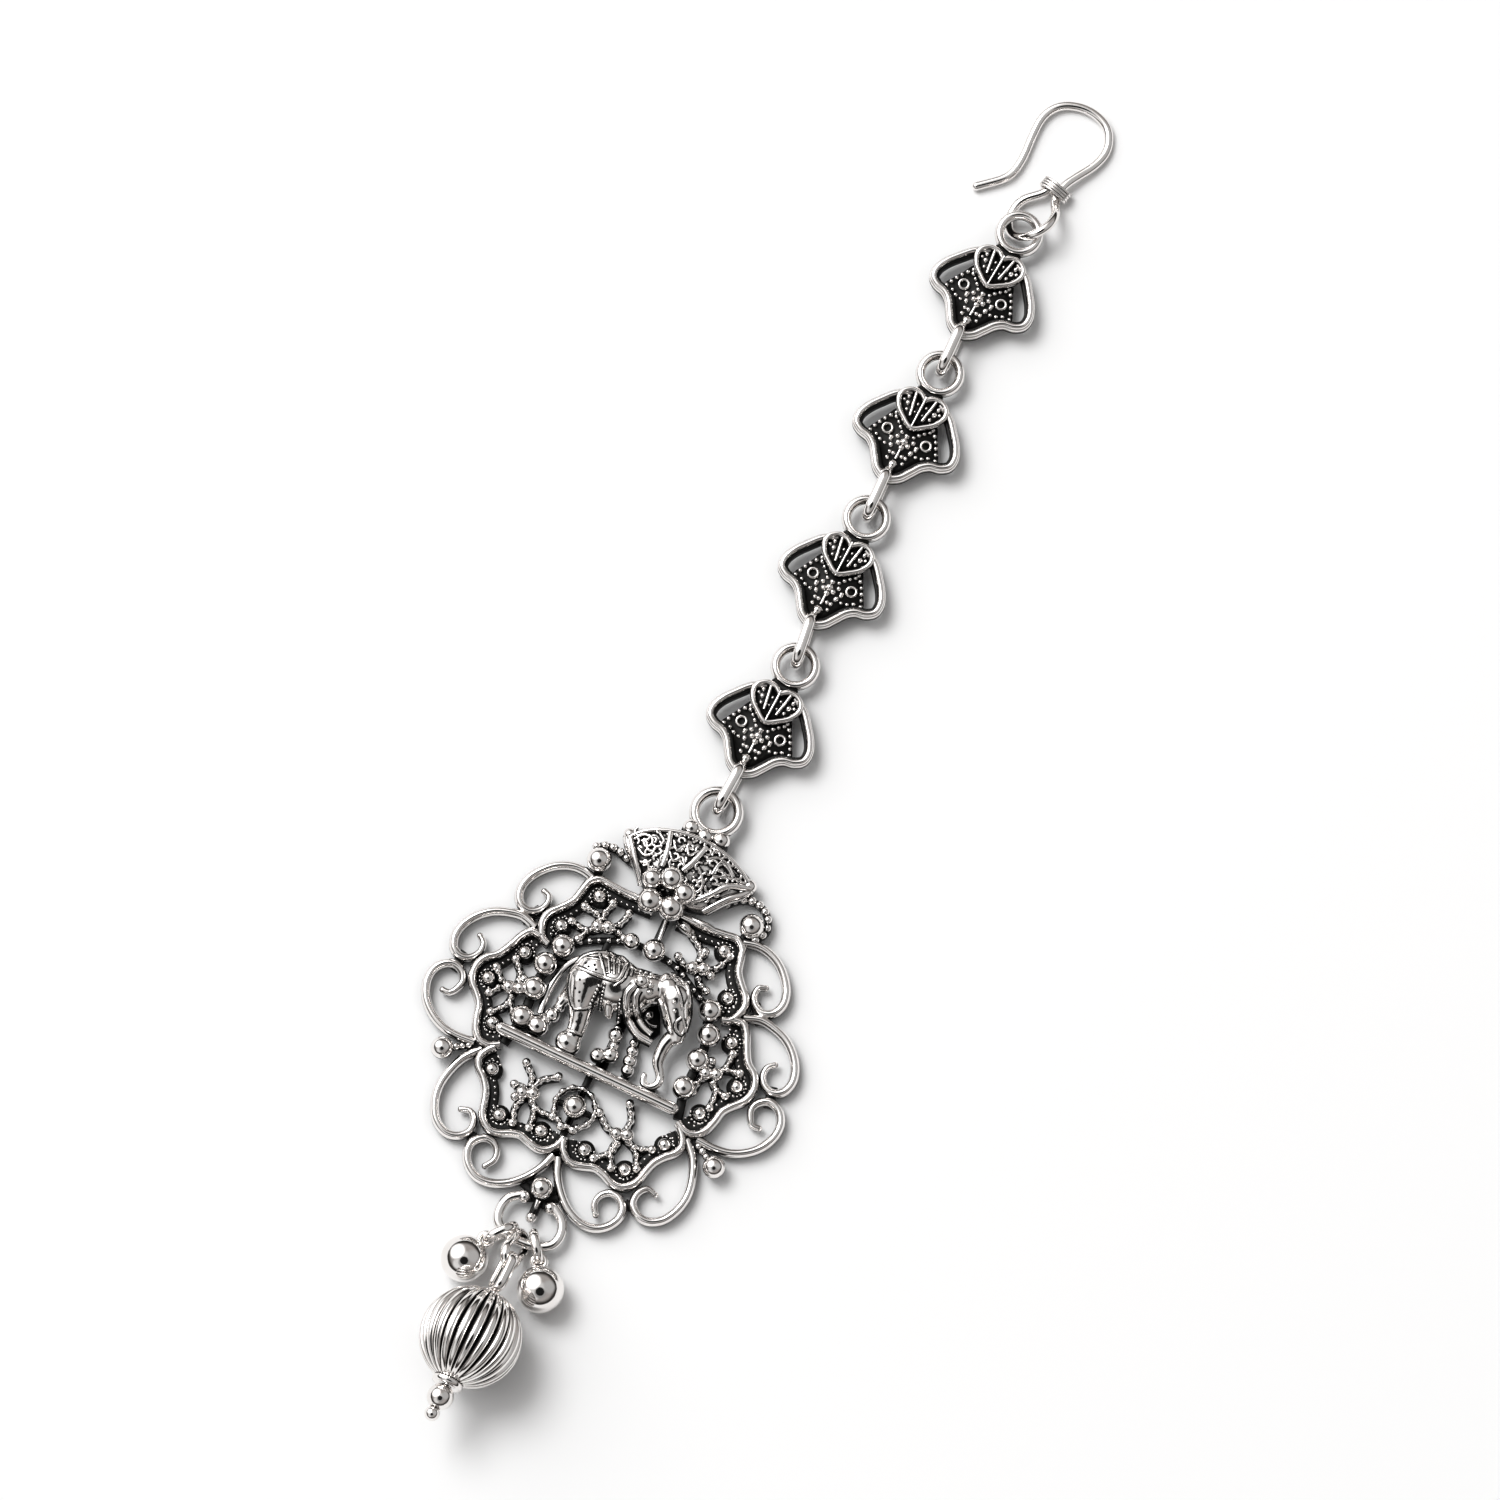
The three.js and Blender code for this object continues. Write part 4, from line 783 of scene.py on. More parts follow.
def crown(piece):
    edge = smoothPath(spatial(crownEdge), 0.2)[:, :2]
    outline = np.vstack([edge, (edge[1:-1] * (-1, 1))[::-1]])
    centre = np.array([0, 18.9])
    rings = crownSizes["rings"]
    shape = bmesh.new()
    rows = []
    for ring in range(1, rings + 1):
        flat = centre + (outline - centre) * ring / rings
        sunk = 0.35 * max(0, ring / rings - 0.92) / 0.08
        rows.append([shape.verts.new(one) for one in onCrown(flat, -0.25 - sunk)])
    foot = [shape.verts.new((x, y, 0)) for x, y in outline]
    top = shape.verts.new(onCrown([centre], -0.25)[0])
    count = len(outline)
    for i in range(count):
        j = (i + 1) % count
        shape.faces.new((top, rows[0][i], rows[0][j]))
        for inner, outer in zip(rows, rows[1:] + [foot]):
            shape.faces.new((inner[i], outer[i], outer[j], inner[j]))
    shape.faces.new(foot)
    bmesh.ops.recalc_face_normals(shape, faces=shape.faces)
    mesh = bpy.data.meshes.new("dome")
    shape.to_mesh(mesh)
    shape.free()
    piece.add(mesh, 0.55)
    ribs = [onCrown(smoothPath(spatial(run), 0.2), 0.02) for run in crownRibs]
    lower = [(7.1, 19.9), (6.6, 19.1), (5.4, 18.0), (3.6, 15.9)]
    edges = [onCrown(smoothPath(spatial(run), 0.2), -0.75) for run in (lower, mirrored(lower))]
    piece.wires(edges, 1.05, 1.9, sides=16)
    piece.wires(ribs, 0.66, 0.95, sides=14)
    # chased scrollwork: small hooks strewn between the ribs
    dice = np.random.default_rng(crownSizes["chasingSeed"])
    hooks = []
    for x in np.arange(-6.2, 6.3, 0.95):
        for y in np.arange(16.2, 22.4, 0.88):
            spot = np.array([x, y]) + dice.uniform(-0.16, 0.16, 2)
            inside = abs(spot[0]) < 1.2 + (spot[1] - 15.2) * 1.15 and abs(spot[0]) < 6.4
            below = spot[1] < 22.6 - (spot[0] / 6.9) ** 2 * 2.3
            if inside and below:
                start, radius = dice.uniform(0, 6.28), dice.uniform(0.26, 0.44)
                t = start + np.linspace(0, dice.uniform(2.2, 5.0), 9)
                curl = radius * np.linspace(1.3, 0.6, 9)
                hooks.append(onCrown(spot + np.column_stack([np.cos(t) * curl, np.sin(t) * curl]), -0.06))
    piece.wires(hooks, 0.33, 0.62, sides=6)
    upper = [(-6.9, 19.9), (-5.4, 21.2), (-3, 22.2), (0, 22.6), (3, 22.2), (5.4, 21.2), (6.9, 20.2)]
    piece.wires([onCrown(smoothPath(spatial(upper), 0.2), -0.1)], 0.55, 0.8, sides=12)
    curls = [onCrown(smoothPath(spatial(run), 0.12), -0.08) for run in crownCurls]
    piece.wires(curls, 0.34, 0.78, sides=8)
    piece.grains([onCrown(smoothPath(spatial(run), 0.2), -0.02) for run in crownGrains], 0.46, 0.17, 13)
    piece.balls([(-6.95, 20.2, 1.9), (6.85, 20.2, 1.8), (6.4, 19.3, 1.9)], [0.7, 0.8, 0.55], 24)
    # the cluster of domed balls and the leaves below it
    piece.balls([(-2.7, 16.6, 3.1), (-0.85, 17.4, 3.3), (1.05, 16.5, 3.1), (-2.0, 14.4, 2.8),
                 (0.35, 14.55, 2.8)], [1.15, 1.3, 1.22, 1.42, 1.42], 24)
    leaves = [([(1.3, 13.9), (2.0, 13.6), (2.8, 13.3), (3.5, 12.9)], 0.62),
              ([(1.9, 14.7), (3.4, 14.5), (4.9, 14.45), (6.4, 14.4)], 0.5)]
    for run, width in leaves:
        path = smoothPath(spatial(run, 1.5), 0.12)
        size = np.sin(np.linspace(0.25, math.pi - 0.25, len(path))) * 1.2
        piece.wires([(path, size, False)], width * 1.5, 1.6, sides=14)
    stem = smoothPath(spatial([(0.3, 13.4, 1.9), (0.4, 12.2, 1.7), (0.5, 10.8, 1.8)]), 0.2)
    piece.wires([stem], 0.42, 0.9, sides=12)
    # eye and collar
    eye = ovalPath(crownSizes["eye"], crownSizes["eye"]) + (0.4, 26.1, 1.75)
    piece.wires([(eye, 1.0, True)], *crownSizes["eyeSection"], sides=24)
    piece.balls([(-1.3, 23.5, 1.8), (0.4, 23.2, 1.8), (2.1, 23.5, 1.8)], 1.0, 28)
    piece.bands([spatial([(-2.2, 22.6), (3, 22.6)], 1.2)], 1.4, 2.0, polish=0.2)


def dropLoop(piece):
    loop = [(-1.3, -19.2), (-2.6, -20.2), (-3.0, -21.5), (-2.7, -22.8), (-1.6, -23.6), (0.4, -23.9),
            (2.4, -23.6), (3.6, -22.8), (3.9, -21.5), (3.4, -20.2), (2.1, -19.2)]
    piece.wires([smoothPath(spatial(loop, 1.45))], 1.05, 0.9, sides=16)
    piece.bands([spatial([(0.3, -17.6), (0.3, -20.9)], 0.6)], 0.9, 1.2, polish=0.3)
    piece.balls([(0.3, -21.1, 1.1)], 0.6, 20)
    piece.wires([spatial([(0.3, -19.2, 1.5), (0.3, -20.8, 1.3)])], 0.55, 0.55, sides=12)


# elephant
elephantSizes = {
    "voxel": 0.19,
    "smoothing": 3,
    "lineWidth": 1.3,  # shares of the sizes listed below
    "lineHeight": 1.5,
    "dot": 1.15,
    "ball": 1.32,
    "groove": (0.3, 0.24),  # wider than its line, and its height
    "lift": 0.06,
}
elephantRounds = [
    # centre x, y, z and radii
    ((-3.9, 4.7, 2.2), (2.6, 3.0, 2.7)), ((-1.8, 4.8, 2.2), (3.3, 2.9, 2.7)),
    ((0.4, 4.8, 2.2), (2.2, 2.7, 2.5)), ((2.0, 5.8, 2.4), (1.6, 1.8, 1.9)),
    ((3.6, 6.6, 2.8), (1.3, 1.5, 1.7)), ((4.8, 5.9, 2.9), (1.75, 1.95, 1.9)),
    ((3.2, 7.5, 2.9), (0.8, 0.65, 1.0)), ((5.0, 7.2, 2.9), (0.8, 0.7, 1.0)),
]
elephantLimbs = [
    # each knot: x, y, z and radius
    [(5.0, 5.2, 3.0, 1.5), (5.8, 4.0, 2.9, 1.3), (6.35, 2.9, 2.7, 1.05), (6.6, 2.2, 2.5, 0.8)],
    [(6.3, 2.7, 2.4, 0.9), (5.75, 1.4, 2.2, 0.82), (5.6, 0.2, 2.0, 0.76), (5.75, -1.0, 1.9, 0.7),
     (6.4, -1.9, 1.8, 0.56), (6.7, -2.8, 1.8, 0.5), (6.1, -3.6, 1.8, 0.46), (5.2, -3.5, 1.8, 0.42),
     (5.0, -2.7, 1.9, 0.36)],
    [(-4.5, 3.9, 2.6, 2.3), (-4.2, 2.0, 2.6, 1.8), (-3.8, 0.7, 2.4, 1.32), (-3.5, -0.8, 2.2, 1.1),
     (-3.45, -2.0, 2.0, 1.0)],
    [(-3.9, -2.8, 1.9, 1.3), (-3.5, -2.95, 1.7, 1.28)],
    [(-5.4, 3.0, 1.4, 1.2), (-6.0, 1.6, 1.2, 0.8), (-6.3, 0.4, 1.1, 0.55)],
    [(-1.3, 5.6, 3.4, 0.8), (-1.6, 4.0, 3.6, 0.7), (-1.45, 2.6, 3.1, 0.6), (-1.0, 1.5, 2.6, 0.5)],
    [(0.2, 5.4, 3.5, 0.6), (-0.3, 4.2, 3.6, 0.5), (-0.4, 3.2, 3.2, 0.42)],
]


def elephantBody():
    shape = bmesh.new()
    for centre, radii in elephantRounds:
        matrix = Matrix.Translation(centre) @ Matrix.Diagonal((*radii, 1))
        bmesh.ops.create_icosphere(shape, subdivisions=4, radius=1, matrix=matrix)
    for limb in elephantLimbs:
        knots = np.array(limb)
        path = smoothPath(knots[:, :3], 0.12)
        along = np.linspace(0, len(limb) - 1, len(path))
        for spot, radius in zip(path, np.interp(along, range(len(limb)), knots[:, 3])):
            matrix = Matrix.Translation(spot) @ Matrix.Diagonal((radius, radius, radius, 1))
            bmesh.ops.create_icosphere(shape, subdivisions=2, radius=1, matrix=matrix)
    mesh = bpy.data.meshes.new("elephant")
    shape.to_mesh(mesh)
    shape.free()
    host = bpy.data.objects.new("elephant", mesh)
    scene.collection.objects.link(host)
    remesh = host.modifiers.new("remesh", "REMESH")
    remesh.mode, remesh.voxel_size = "VOXEL", elephantSizes["voxel"]
    smooth = host.modifiers.new("smooth", "SMOOTH")
    smooth.factor, smooth.iterations = 0.5, elephantSizes["smoothing"]
    bpy.context.view_layer.update()
    made = bpy.data.meshes.new_from_object(host.evaluated_get(bpy.context.evaluated_depsgraph_get()))
    bpy.data.objects.remove(host)
    # the back lies flat
    flat = bmesh.new()
    flat.from_mesh(made)
    for vert in flat.verts:
        vert.co.z = max(vert.co.z, 0.02)
    flat.to_mesh(made)
    skin = BVHTree.FromBMesh(flat)
    flat.free()
    return made, skin


def onSkin(skin, points):
    path = smoothPath(spatial(points), 0.15)
    for one in path:
        spot = skin.ray_cast((one[0], one[1], 12), (0, 0, -1))[0]
        one[2] = spot.z if spot else 2.0
    # no sudden steps where the course leaves the body
    for _ in range(2):
        path[1:-1, 2] = (path[:-2, 2] + path[1:-1, 2] * 2 + path[2:, 2]) / 4
    return path


elephantLines = [
    # blanket: top edge, lower edge, ends, divider and slats
    ([(-6.2, 5.0), (-5.9, 5.9), (-4.6, 6.9), (-2.6, 7.6), (-1.4, 7.2)], 0.26),
    ([(-6.0, 4.5), (-4.7, 4.5), (-2.9, 4.6), (-1.5, 4.9), (-1.3, 6.2), (-1.4, 7.2)], 0.3),
    ([(-4.4, 6.8), (-3.6, 5.8), (-2.8, 4.8)], 0.2),
    ([(-3.3, 6.7), (-2.5, 5.2)], 0.17), ([(-2.8, 7.0), (-2.0, 5.3)], 0.17),
    ([(-2.2, 7.1), (-1.6, 5.6)], 0.17), ([(-5.4, 5.9), (-3.9, 6.2)], 0.16),
    # girths and the rump's edge
    ([(-1.0, 6.6), (-0.9, 5.4), (-1.5, 4.2)], 0.2), ([(-0.6, 6.8), (-0.4, 5.9)], 0.2),
    ([(-6.2, 3.6), (-5.8, 2.3), (-5.0, 1.0), (-4.4, 0.5)], 0.17),
    ([(-4.4, 0.5), (-3.5, 0.9), (-2.9, 1.5)], 0.2), ([(-4.3, -1.75), (-2.7, -1.6)], 0.26),
    # ear bands
    ([(0.4, 5.2), (0.1, 4.0), (0.8, 2.4), (2.5, 1.0), (4.3, 0.7)], 0.62),
    ([(1.0, 4.9), (1.0, 4.0), (1.6, 2.9), (2.7, 2.0), (3.9, 1.6)], 0.54),
    # face
    ([(3.2, 7.9), (4.1, 8.1), (5.2, 7.6), (6.2, 6.2), (6.9, 4.4), (7.1, 3.0)], 0.28),
    ([(3.3, 5.0), (4.1, 4.2), (4.9, 3.2), (5.9, 2.3)], 0.3),
    ([(4.4, 6.9), (5.3, 5.9), (6.0, 4.9)], 0.2),
    ([(6.2, 4.1), (5.9, 3.4), (6.3, 2.7), (6.9, 2.6), (6.9, 3.4), (6.4, 4.1)], 0.2),
]
elephantChains = [
    # course, spacing and radius
    ([(-2.5, 4.0), (-2.3, 2.9), (-2.1, 1.7)], 0.42, 0.17),
    ([(-3.0, 3.6), (-3.05, 2.4), (-3.1, 1.2)], 0.42, 0.19),
    ([(-0.4, 3.2), (-0.1, 2.3), (0.2, 1.3)], 0.42, 0.17), ([(0.3, 6.9), (1.4, 7.1)], 0.5, 0.2),
]
elephantDots = [
    # x, y and radius
    (-5.1, 3.4, 0.14), (-4.5, 3.2, 0.14), (-5.2, 2.4, 0.14), (-4.6, 2.2, 0.14), (-4.3, 1.4, 0.14),
    (-3.5, 0.2, 0.13), (-3.7, -0.6, 0.13), (-5.3, 5.3, 0.15), (-4.8, 5.0, 0.15), (-4.3, 5.4, 0.15),
    (-4.0, 5.0, 0.15), (0.9, 5.9, 0.72), (4.9, 5.2, 0.2), (6.0, 5.1, 0.17), (5.3, 4.4, 0.17),
    (1.9, 5.9, 0.3), (2.1, 5.2, 0.26),
]
elephantBalls = [
    # x, y, z and radius: anklets, feet, and the small shape behind the ear
    (-6.3, 1.2, 1.2, 0.42), (-6.1, 0.4, 1.2, 0.4), (-6.5, -0.7, 1.3, 0.62), (-7.0, -1.5, 1.3, 0.55),
    (-7.45, -2.4, 1.5, 0.92), (0.45, 0.0, 1.5, 0.62), (0.75, -1.15, 1.4, 0.42), (0.85, -2.15, 1.6, 0.68),
    (-0.35, -2.75, 1.6, 0.66), (0.3, 0.8, 1.3, 0.3), (2.5, 0.1, 1.1, 0.36), (2.75, -0.8, 1.2, 0.5),
    (2.95, -1.9, 1.3, 0.58), (3.1, -2.9, 1.2, 0.55), (2.7, 3.4, 1.5, 0.42),
]


def elephant(piece):
    body, skin = elephantBody()
    piece.add(body)
    # each chased line stands in a blackened groove
    size = elephantSizes
    more, high = size["groove"]
    lift = np.array((0, 0, size["lift"]))
    for points, width in elephantLines:
        path, wide = onSkin(skin, points), width * size["lineWidth"]
        piece.wires([path - lift], wide + more, high, polish=0, sides=8)
        piece.wires([path + lift], wide, width * size["lineHeight"], sides=8)
    for points, spacing, radius in elephantChains:
        path = onSkin(skin, points)
        piece.wires([path - lift], radius * 3.4, high, polish=0, sides=12)
        piece.grains([path + (0, 0, 0.08)], spacing, radius, seed=17)
    for x, y, radius in elephantDots:
        z = onSkin(skin, [(x, y), (x + 0.01, y)])[0][2]
        dark = radius < 0.16
        piece.balls([(x, y, z)], radius * (1.0 if dark else size["dot"]), 12, polish=0 if dark else 1)
    piece.balls([one[:3] for one in elephantBalls], [one[3] * size["ball"] for one in elephantBalls], 18)
    tail = smoothPath([(-6.1, 5.9, 2.2), (-6.9, 5.2, 1.8), (-7.6, 3.9, 1.2), (-7.95, 2.0, 0.9),
                       (-7.95, 0.2, 0.8), (-7.8, -1.0, 0.8)])
    piece.wires([tail], 0.8, 0.9, sides=12)
    # dark casting wall between the legs, and the dark hollow behind the ear
    legWeb = [(0.2, 2.4), (1.0, 2.4), (1.0, -4.8), (0.2, -4.8)]
    piece.add(sheetSolid(legWeb, 0, 0.9), 0)
    hollow = [(1.1, 4.8), (0.9, 3.9), (1.6, 2.7), (2.8, 1.8), (4.2, 1.4), (4.6, 2.2), (3.8, 4.0),
              (2.6, 5.4)]
    piece.add(sheetSolid(hollow, 0, 1.0), 0)
    inner = smoothPath([(1.9, 3.9, 1.3), (2.4, 3.0, 1.3), (3.3, 2.5, 1.3), (4.0, 2.6, 1.3)])
    piece.wires([inner], 0.34, 0.7, sides=10)
    feet = [[(-7.5, -2.6), (-7.6, -4.3)], [(-3.7, -3.0), (-3.7, -4.5)], [(0.2, -2.8), (0.2, -4.5)],
            [(3.1, -3.0), (3.1, -4.6)], [(6.2, -3.2), (6.2, -4.6)], [(-6.2, 1.0), (-7.3, -2.4)],
            [(0.4, 1.8), (0.8, -2.2)], [(2.4, 2.4), (3.0, -2.9)], [(-7.0, 5.2), (-9.0, 4.4)]]
    piece.bands([spatial(run, 0.45) for run in feet], 0.9, 0.9)


medallion = Piece(castSilver)
rimAndScrolls(medallion)
sprays(medallion)
borders(medallion)
crown(medallion)
dropLoop(medallion)
elephant(medallion)
medallion.finish("medallionCasting", "oxidised_cast", "medallion", edge=(-0.05, 0.32))
print("medallion ready")


# links: the eye's middle is the origin, the link runs down to -y, its back is z = 0
linkSizes = {
    "lift": 1.05,  # of the link's back over the floor
    "frameWire": 0.66,
    "frameTop": 1.72,
    "field": 0.85,
    "heartWire": 0.6,
    "heartTop": 2.0,
    "eye": (2.14, 1.02, 1.4),  # radius of its middle line, width and height
}
linkPlaces = [
    # node, middle of the eye, turn in degrees
    ("link_4", (1.5781, 44.0384), -3.5), ("link_3", (1.9263, 61.9712), -3.4),
    ("link_2", (2.6805, 79.9291), -3.1), ("link_1", (4.1778, 97.8259), -6.3),
]
linkEdge = [(1.7, -3.3), (3.1, -4.1), (4.25, -5.4), (5.2, -6.7), (5.68, -7.9), (5.55, -8.9),
            (4.75, -9.5), (3.7, -9.75), (2.85, -10.35), (2.1, -11.4), (1.25, -12.5), (0, -13.02)]
linkField = [(0, -5), (2.3, -5.4), (3.0, -6.6), (3.7, -7.9), (4.2, -9.0), (3.7, -9.6), (2.7, -10.2),
             (1.9, -11.3), (1.2, -12.3), (0, -12.6)]
heartEdge = [(0, -3.55), (0.75, -3.1), (1.7, -3.05), (2.5, -3.6), (2.7, -4.4), (2.2, -5.5),
             (1.2, -6.35), (0, -7.0)]
linkGrains = [[(2.2, -6.0), (2.9, -6.9), (3.5, -8.0), (3.9, -9.0)],
              [(2.9, -9.75), (2.0, -10.9), (1.2, -12.0)],
              [(0.7, -7.7), (1.3, -7.0), (2.0, -6.4)], [(1.2, -9.4), (2.1, -9.6), (3.1, -9.1)],
              [(1.5, -8.9), (1.0, -9.9), (0.9, -10.9)]]


def wholeEdge(half):
    return half + [(-x, y) for x, y in half[-2 if half[-1][0] == 0 else -1::-1]]


def linkMesh():
    link, size = Piece(castSilver), linkSizes
    frameRun = smoothPath(spatial(wholeEdge(linkEdge)), 0.22)
    wire, top = size["frameWire"], size["frameTop"]
    link.wires([frameRun + (0, 0, top - wire / 2)], wire, wire, sides=16)
    link.wires([shifted(frameRun, -0.12, 0.66)], 0.7, 1.32, polish=0.75, tree=bandTree)
    link.bands([shifted(frameRun, 0.42, 0.62)], 0.42, 1.24)
    heart = smoothPath(spatial(heartEdge + [(-x, y) for x, y in heartEdge[-2:0:-1]]), 0.15, True)
    heartTop = size["heartTop"]
    link.wires([(heart + (0, 0, heartTop - 0.42), 1.0, True)], size["heartWire"], 0.84, sides=16)
    link.add(sheetSolid(heart[:, :2], 0.0, heartTop - 0.7), 0)
    for x in (-0.95, 0, 0.95):
        low = -6.9 if x == 0 else -5.9
        link.wires([spatial([(x * 1.25, -3.3), (x * 0.75, low)], heartTop - 0.4)], 0.38, 0.8, sides=12)
    seeds = [(x * side, y, heartTop - 0.62) for side in (1, -1)
             for x, y in ((1.75, -3.9), (1.55, -4.6), (1.35, -5.3), (2.1, -4.4), (0.5, -4.3), (0.45, -5.2))]
    link.balls(seeds, [0.27, 0.33, 0.24, 0.2, 0.2, 0.17] * 2, 16)
    field = size["field"]
    floor = smoothPath(spatial(wholeEdge(linkField)[:-1]), 0.4, True)
    link.add(sheetSolid(floor[:, :2], 0, field), 0)
    runs = [smoothPath(spatial(side, field + 0.06), 0.2) for run in linkGrains for side in bothSides(run)]
    link.grains(runs, 0.6, 0.25, seed=21)
    for side in (1, -1):
        small = ovalPath(1.05, 1.05, 24) + (2.3 * side, -8.0, field + 0.14)
        link.wires([(small, 1.0, True)], 0.32, 0.5, sides=10)
    cross = [(0, -8.6), (0.55, -8.9), (-0.55, -8.9), (0, -9.35), (0, -7.9), (0.95, -8.3), (-0.95, -8.3),
             (1.5, -8.7), (-1.5, -8.7), (0.5, -10.2), (-0.5, -10.2), (0, -11.4)]
    sizes = [0.44, 0.32, 0.32, 0.36, 0.32, 0.27, 0.27, 0.27, 0.27, 0.25, 0.25, 0.55]
    link.balls([(x, y, field + 0.1) for x, y in cross], sizes, 16)
    link.wires([spatial([(0, -9.6), (0, -10.7)], field + 0.1)], 0.34, 0.6, sides=10)
    radius, width, height = size["eye"]
    eye = ovalPath(2 * radius, 2 * radius) + (0, 0, height / 2)
    link.wires([(eye, 1.0, True)], width, height, sides=24)
    link.bands([spatial([(-1.5, -2.75), (1.5, -2.75)], 0.5)], 0.9, 1.0)
    return link.mesh("castLink", edge=(-0.1, 0.28))


castLink = linkMesh()
for node, (x, y), turn in linkPlaces:
    spot = Matrix.Translation((x * metres, y * metres, linkSizes["lift"] * metres))
    linkCopy = castLink.copy()
    linkCopy.transform(spot @ Matrix.Rotation(math.radians(turn), 4, "Z"))
    place(linkCopy, "chain" + node.replace("_", "").capitalize(), "oxidised_cast", node)
bpy.data.meshes.remove(castLink)
print("links ready")


# rings
ringSizes = {
    "length": 6.65,
    "height": 4.0,
    "wire": 0.85,
    "across": 1.15,
    "dropInset": 0.6,
    "dropSection": (0.72, 1.0),
}
ringPlaces = [
    # node, middle, turn in degrees
    ("jump_ring_4", (0.6295, 29.016, 2), -4.5), ("jump_ring_3", (1.2977, 46.9499, 2), 5.5),
    ("jump_ring_2", (1.9467, 64.8961, 2), -0.4), ("jump_ring_1", (2.701, 82.854, 2), -0.4),
]
dropRings = [
    # node, middle, three axes, length, width
    ("drop_ring_left", (-1.8499, -23.9199, 1.7),
     ((0, 0, -1), (-0.65, -0.76, 0), (-0.76, 0.65, 0)), 4.0, 3.4),
    ("drop_ring_right", (2.1345, -23.7601, 1.7),
     ((0, 0, -1), (0.5708, -0.8211, 0), (-0.8211, -0.5708, 0)), 3.8, 3.4),
    ("drop_ring_centre", (0.2705, -24.9746, 2.4093),
     ((-0.5303, 0.5993, 0.5997), (-0.0895, -0.743, 0.6633), (0.8431, 0.298, 0.4477)), 5.31, 3.2),
]


def framed(spot, axes):
    return Matrix([[*row, at] for row, at in zip(zip(*axes), spot)] + [[0, 0, 0, 1]])


for node, spot, turn in ringPlaces:
    ring, wire = Piece(brightSilver), ringSizes["wire"]
    run = ovalPath(ringSizes["length"] - wire, ringSizes["height"] - wire, 96)
    upright = Matrix.Rotation(math.radians(turn), 4, "Z") @ Matrix.Rotation(math.pi / 2, 4, "Y")
    ring.wires([(run, 1.0, True)], wire, ringSizes["across"], sides=24,
               place=Matrix.Translation(spot) @ upright)
    ring.finish("jumpRing" + node[-1], "polished", node, shade=False)
for node, spot, axes, length, width in dropRings:
    ring = Piece(brightSilver)
    run = ovalPath(length - ringSizes["dropInset"], width - ringSizes["dropInset"], 72)
    ring.wires([(run, 1.0, True)], *ringSizes["dropSection"], sides=20, place=framed(spot, axes))
    ring.finish("dropRing" + node.split("_")[-1].capitalize(), "polished", node, shade=False)
print("rings ready")


# hair hook and its binding
hookSizes = {"wire": 1.0, "evening": 36}
bindingSizes = {
    "wire": 0.3,
    "turns": 4.0,
    "length": 1.25,
    "across": 1.64,
    "up": 0.93,
    "tilt": 14,
    "neck": (1.52, 6.45, 1.01),
}
hookEye = np.array([4.1778, 97.8259, 0])
hookCourse = [
    (-6.5, 3.5, 0.5), (-5.4, 4.4, 0.5), (-3.7, 6, 0.5), (-3.2, 8.3, 0.5), (-3.25, 11.3, 0.5),
    (-3.05, 13.8, 0.5), (-1.8, 15.6, 0.5), (1, 16.4, 0.5), (3.8, 15.4, 0.5), (4.85, 13, 0.5),
    (4.3, 10.8, 0.6), (3, 8.7, 0.8), (2.15, 7.1, 0.98), (1.94, 5.8, 1), (2.05, 5, 1), (2.65, 3.9, 2),
    (2.85, 2.8, 2.8), (2.6, 1.5, 3.3), (1.7, 0.3, 3.1), (0.5, -0.25, 1.9), (-0.8, -0.1, 0.8),
    (-1.65, 0.8, 0.5), (-1.85, 2.4, 0.5), (-1.3, 4.1, 0.7), (-0.05, 5.1, 0.85), (0.85, 5.95, 0.95),
    (0.98, 6.8, 1),
]
hook = Piece(brightSilver)
course = smoothPath(hookCourse, 0.15)
for _ in range(hookSizes["evening"]):  # drawn wire bends evenly
    course[1:-1] = (course[:-2] + course[1:-1] * 2 + course[2:]) / 4
hook.wires([course + hookEye], hookSizes["wire"], hookSizes["wire"], sides=24)
hook.balls([course[0] + hookEye], hookSizes["wire"] / 2, 24)
hook.finish("hairHook", "polished", "hair_hook", shade=False)


def coilTree():
    tree = Tree("boundCoil", [("Wire", "Float", 0.3), ("Turns", "Float", 4.0), ("Length", "Float", 1.2),
                              ("Across", "Float", 1.0), ("Up", "Float", 1.0)])
    source = tree.source
    coil = tree.node("GeometryNodeCurveSpiral", Resolution=40, Rotations=source["Turns"], Start_Radius=1.0,
                     End_Radius=1.0, Height=source["Length"])[0]
    scale = tree.node("ShaderNodeCombineXYZ", X=source["Across"], Y=source["Up"], Z=1.0)[0]
    oval = tree.node("GeometryNodeTransform", Geometry=coil, Scale=scale)[0]
    half = tree.node("ShaderNodeMath", {"operation": "MULTIPLY"}, _0=source["Wire"], _1=0.5)[0]
    section = tree.node("GeometryNodeCurvePrimitiveCircle", Resolution=12, Radius=half)[0]
    return tree.close(tree.node("GeometryNodeCurveToMesh", Curve=oval, Profile_Curve=section,
                                Fill_Caps=True)[0])


size = bindingSizes
coil = grown(coilTree(), onePoint, brightSilver, Wire=size["wire"], Turns=size["turns"],
             Length=size["length"], Across=size["across"], Up=size["up"])
tilt = math.radians(size["tilt"])
ahead, upward = Vector((math.sin(tilt), math.cos(tilt), 0)), Vector((0, 0, 1))
neck = Vector(hookEye) + Vector(size["neck"]) - ahead * size["length"] / 2
binding = Piece(brightSilver)
binding.add(coil, 1.0, framed(neck, (upward.cross(ahead) * -1, upward * -1, ahead)))
binding.finish("hookBinding", "polished", "hook_binding", reach=0.8, low=0.3, high=0.7)
print("hook ready")


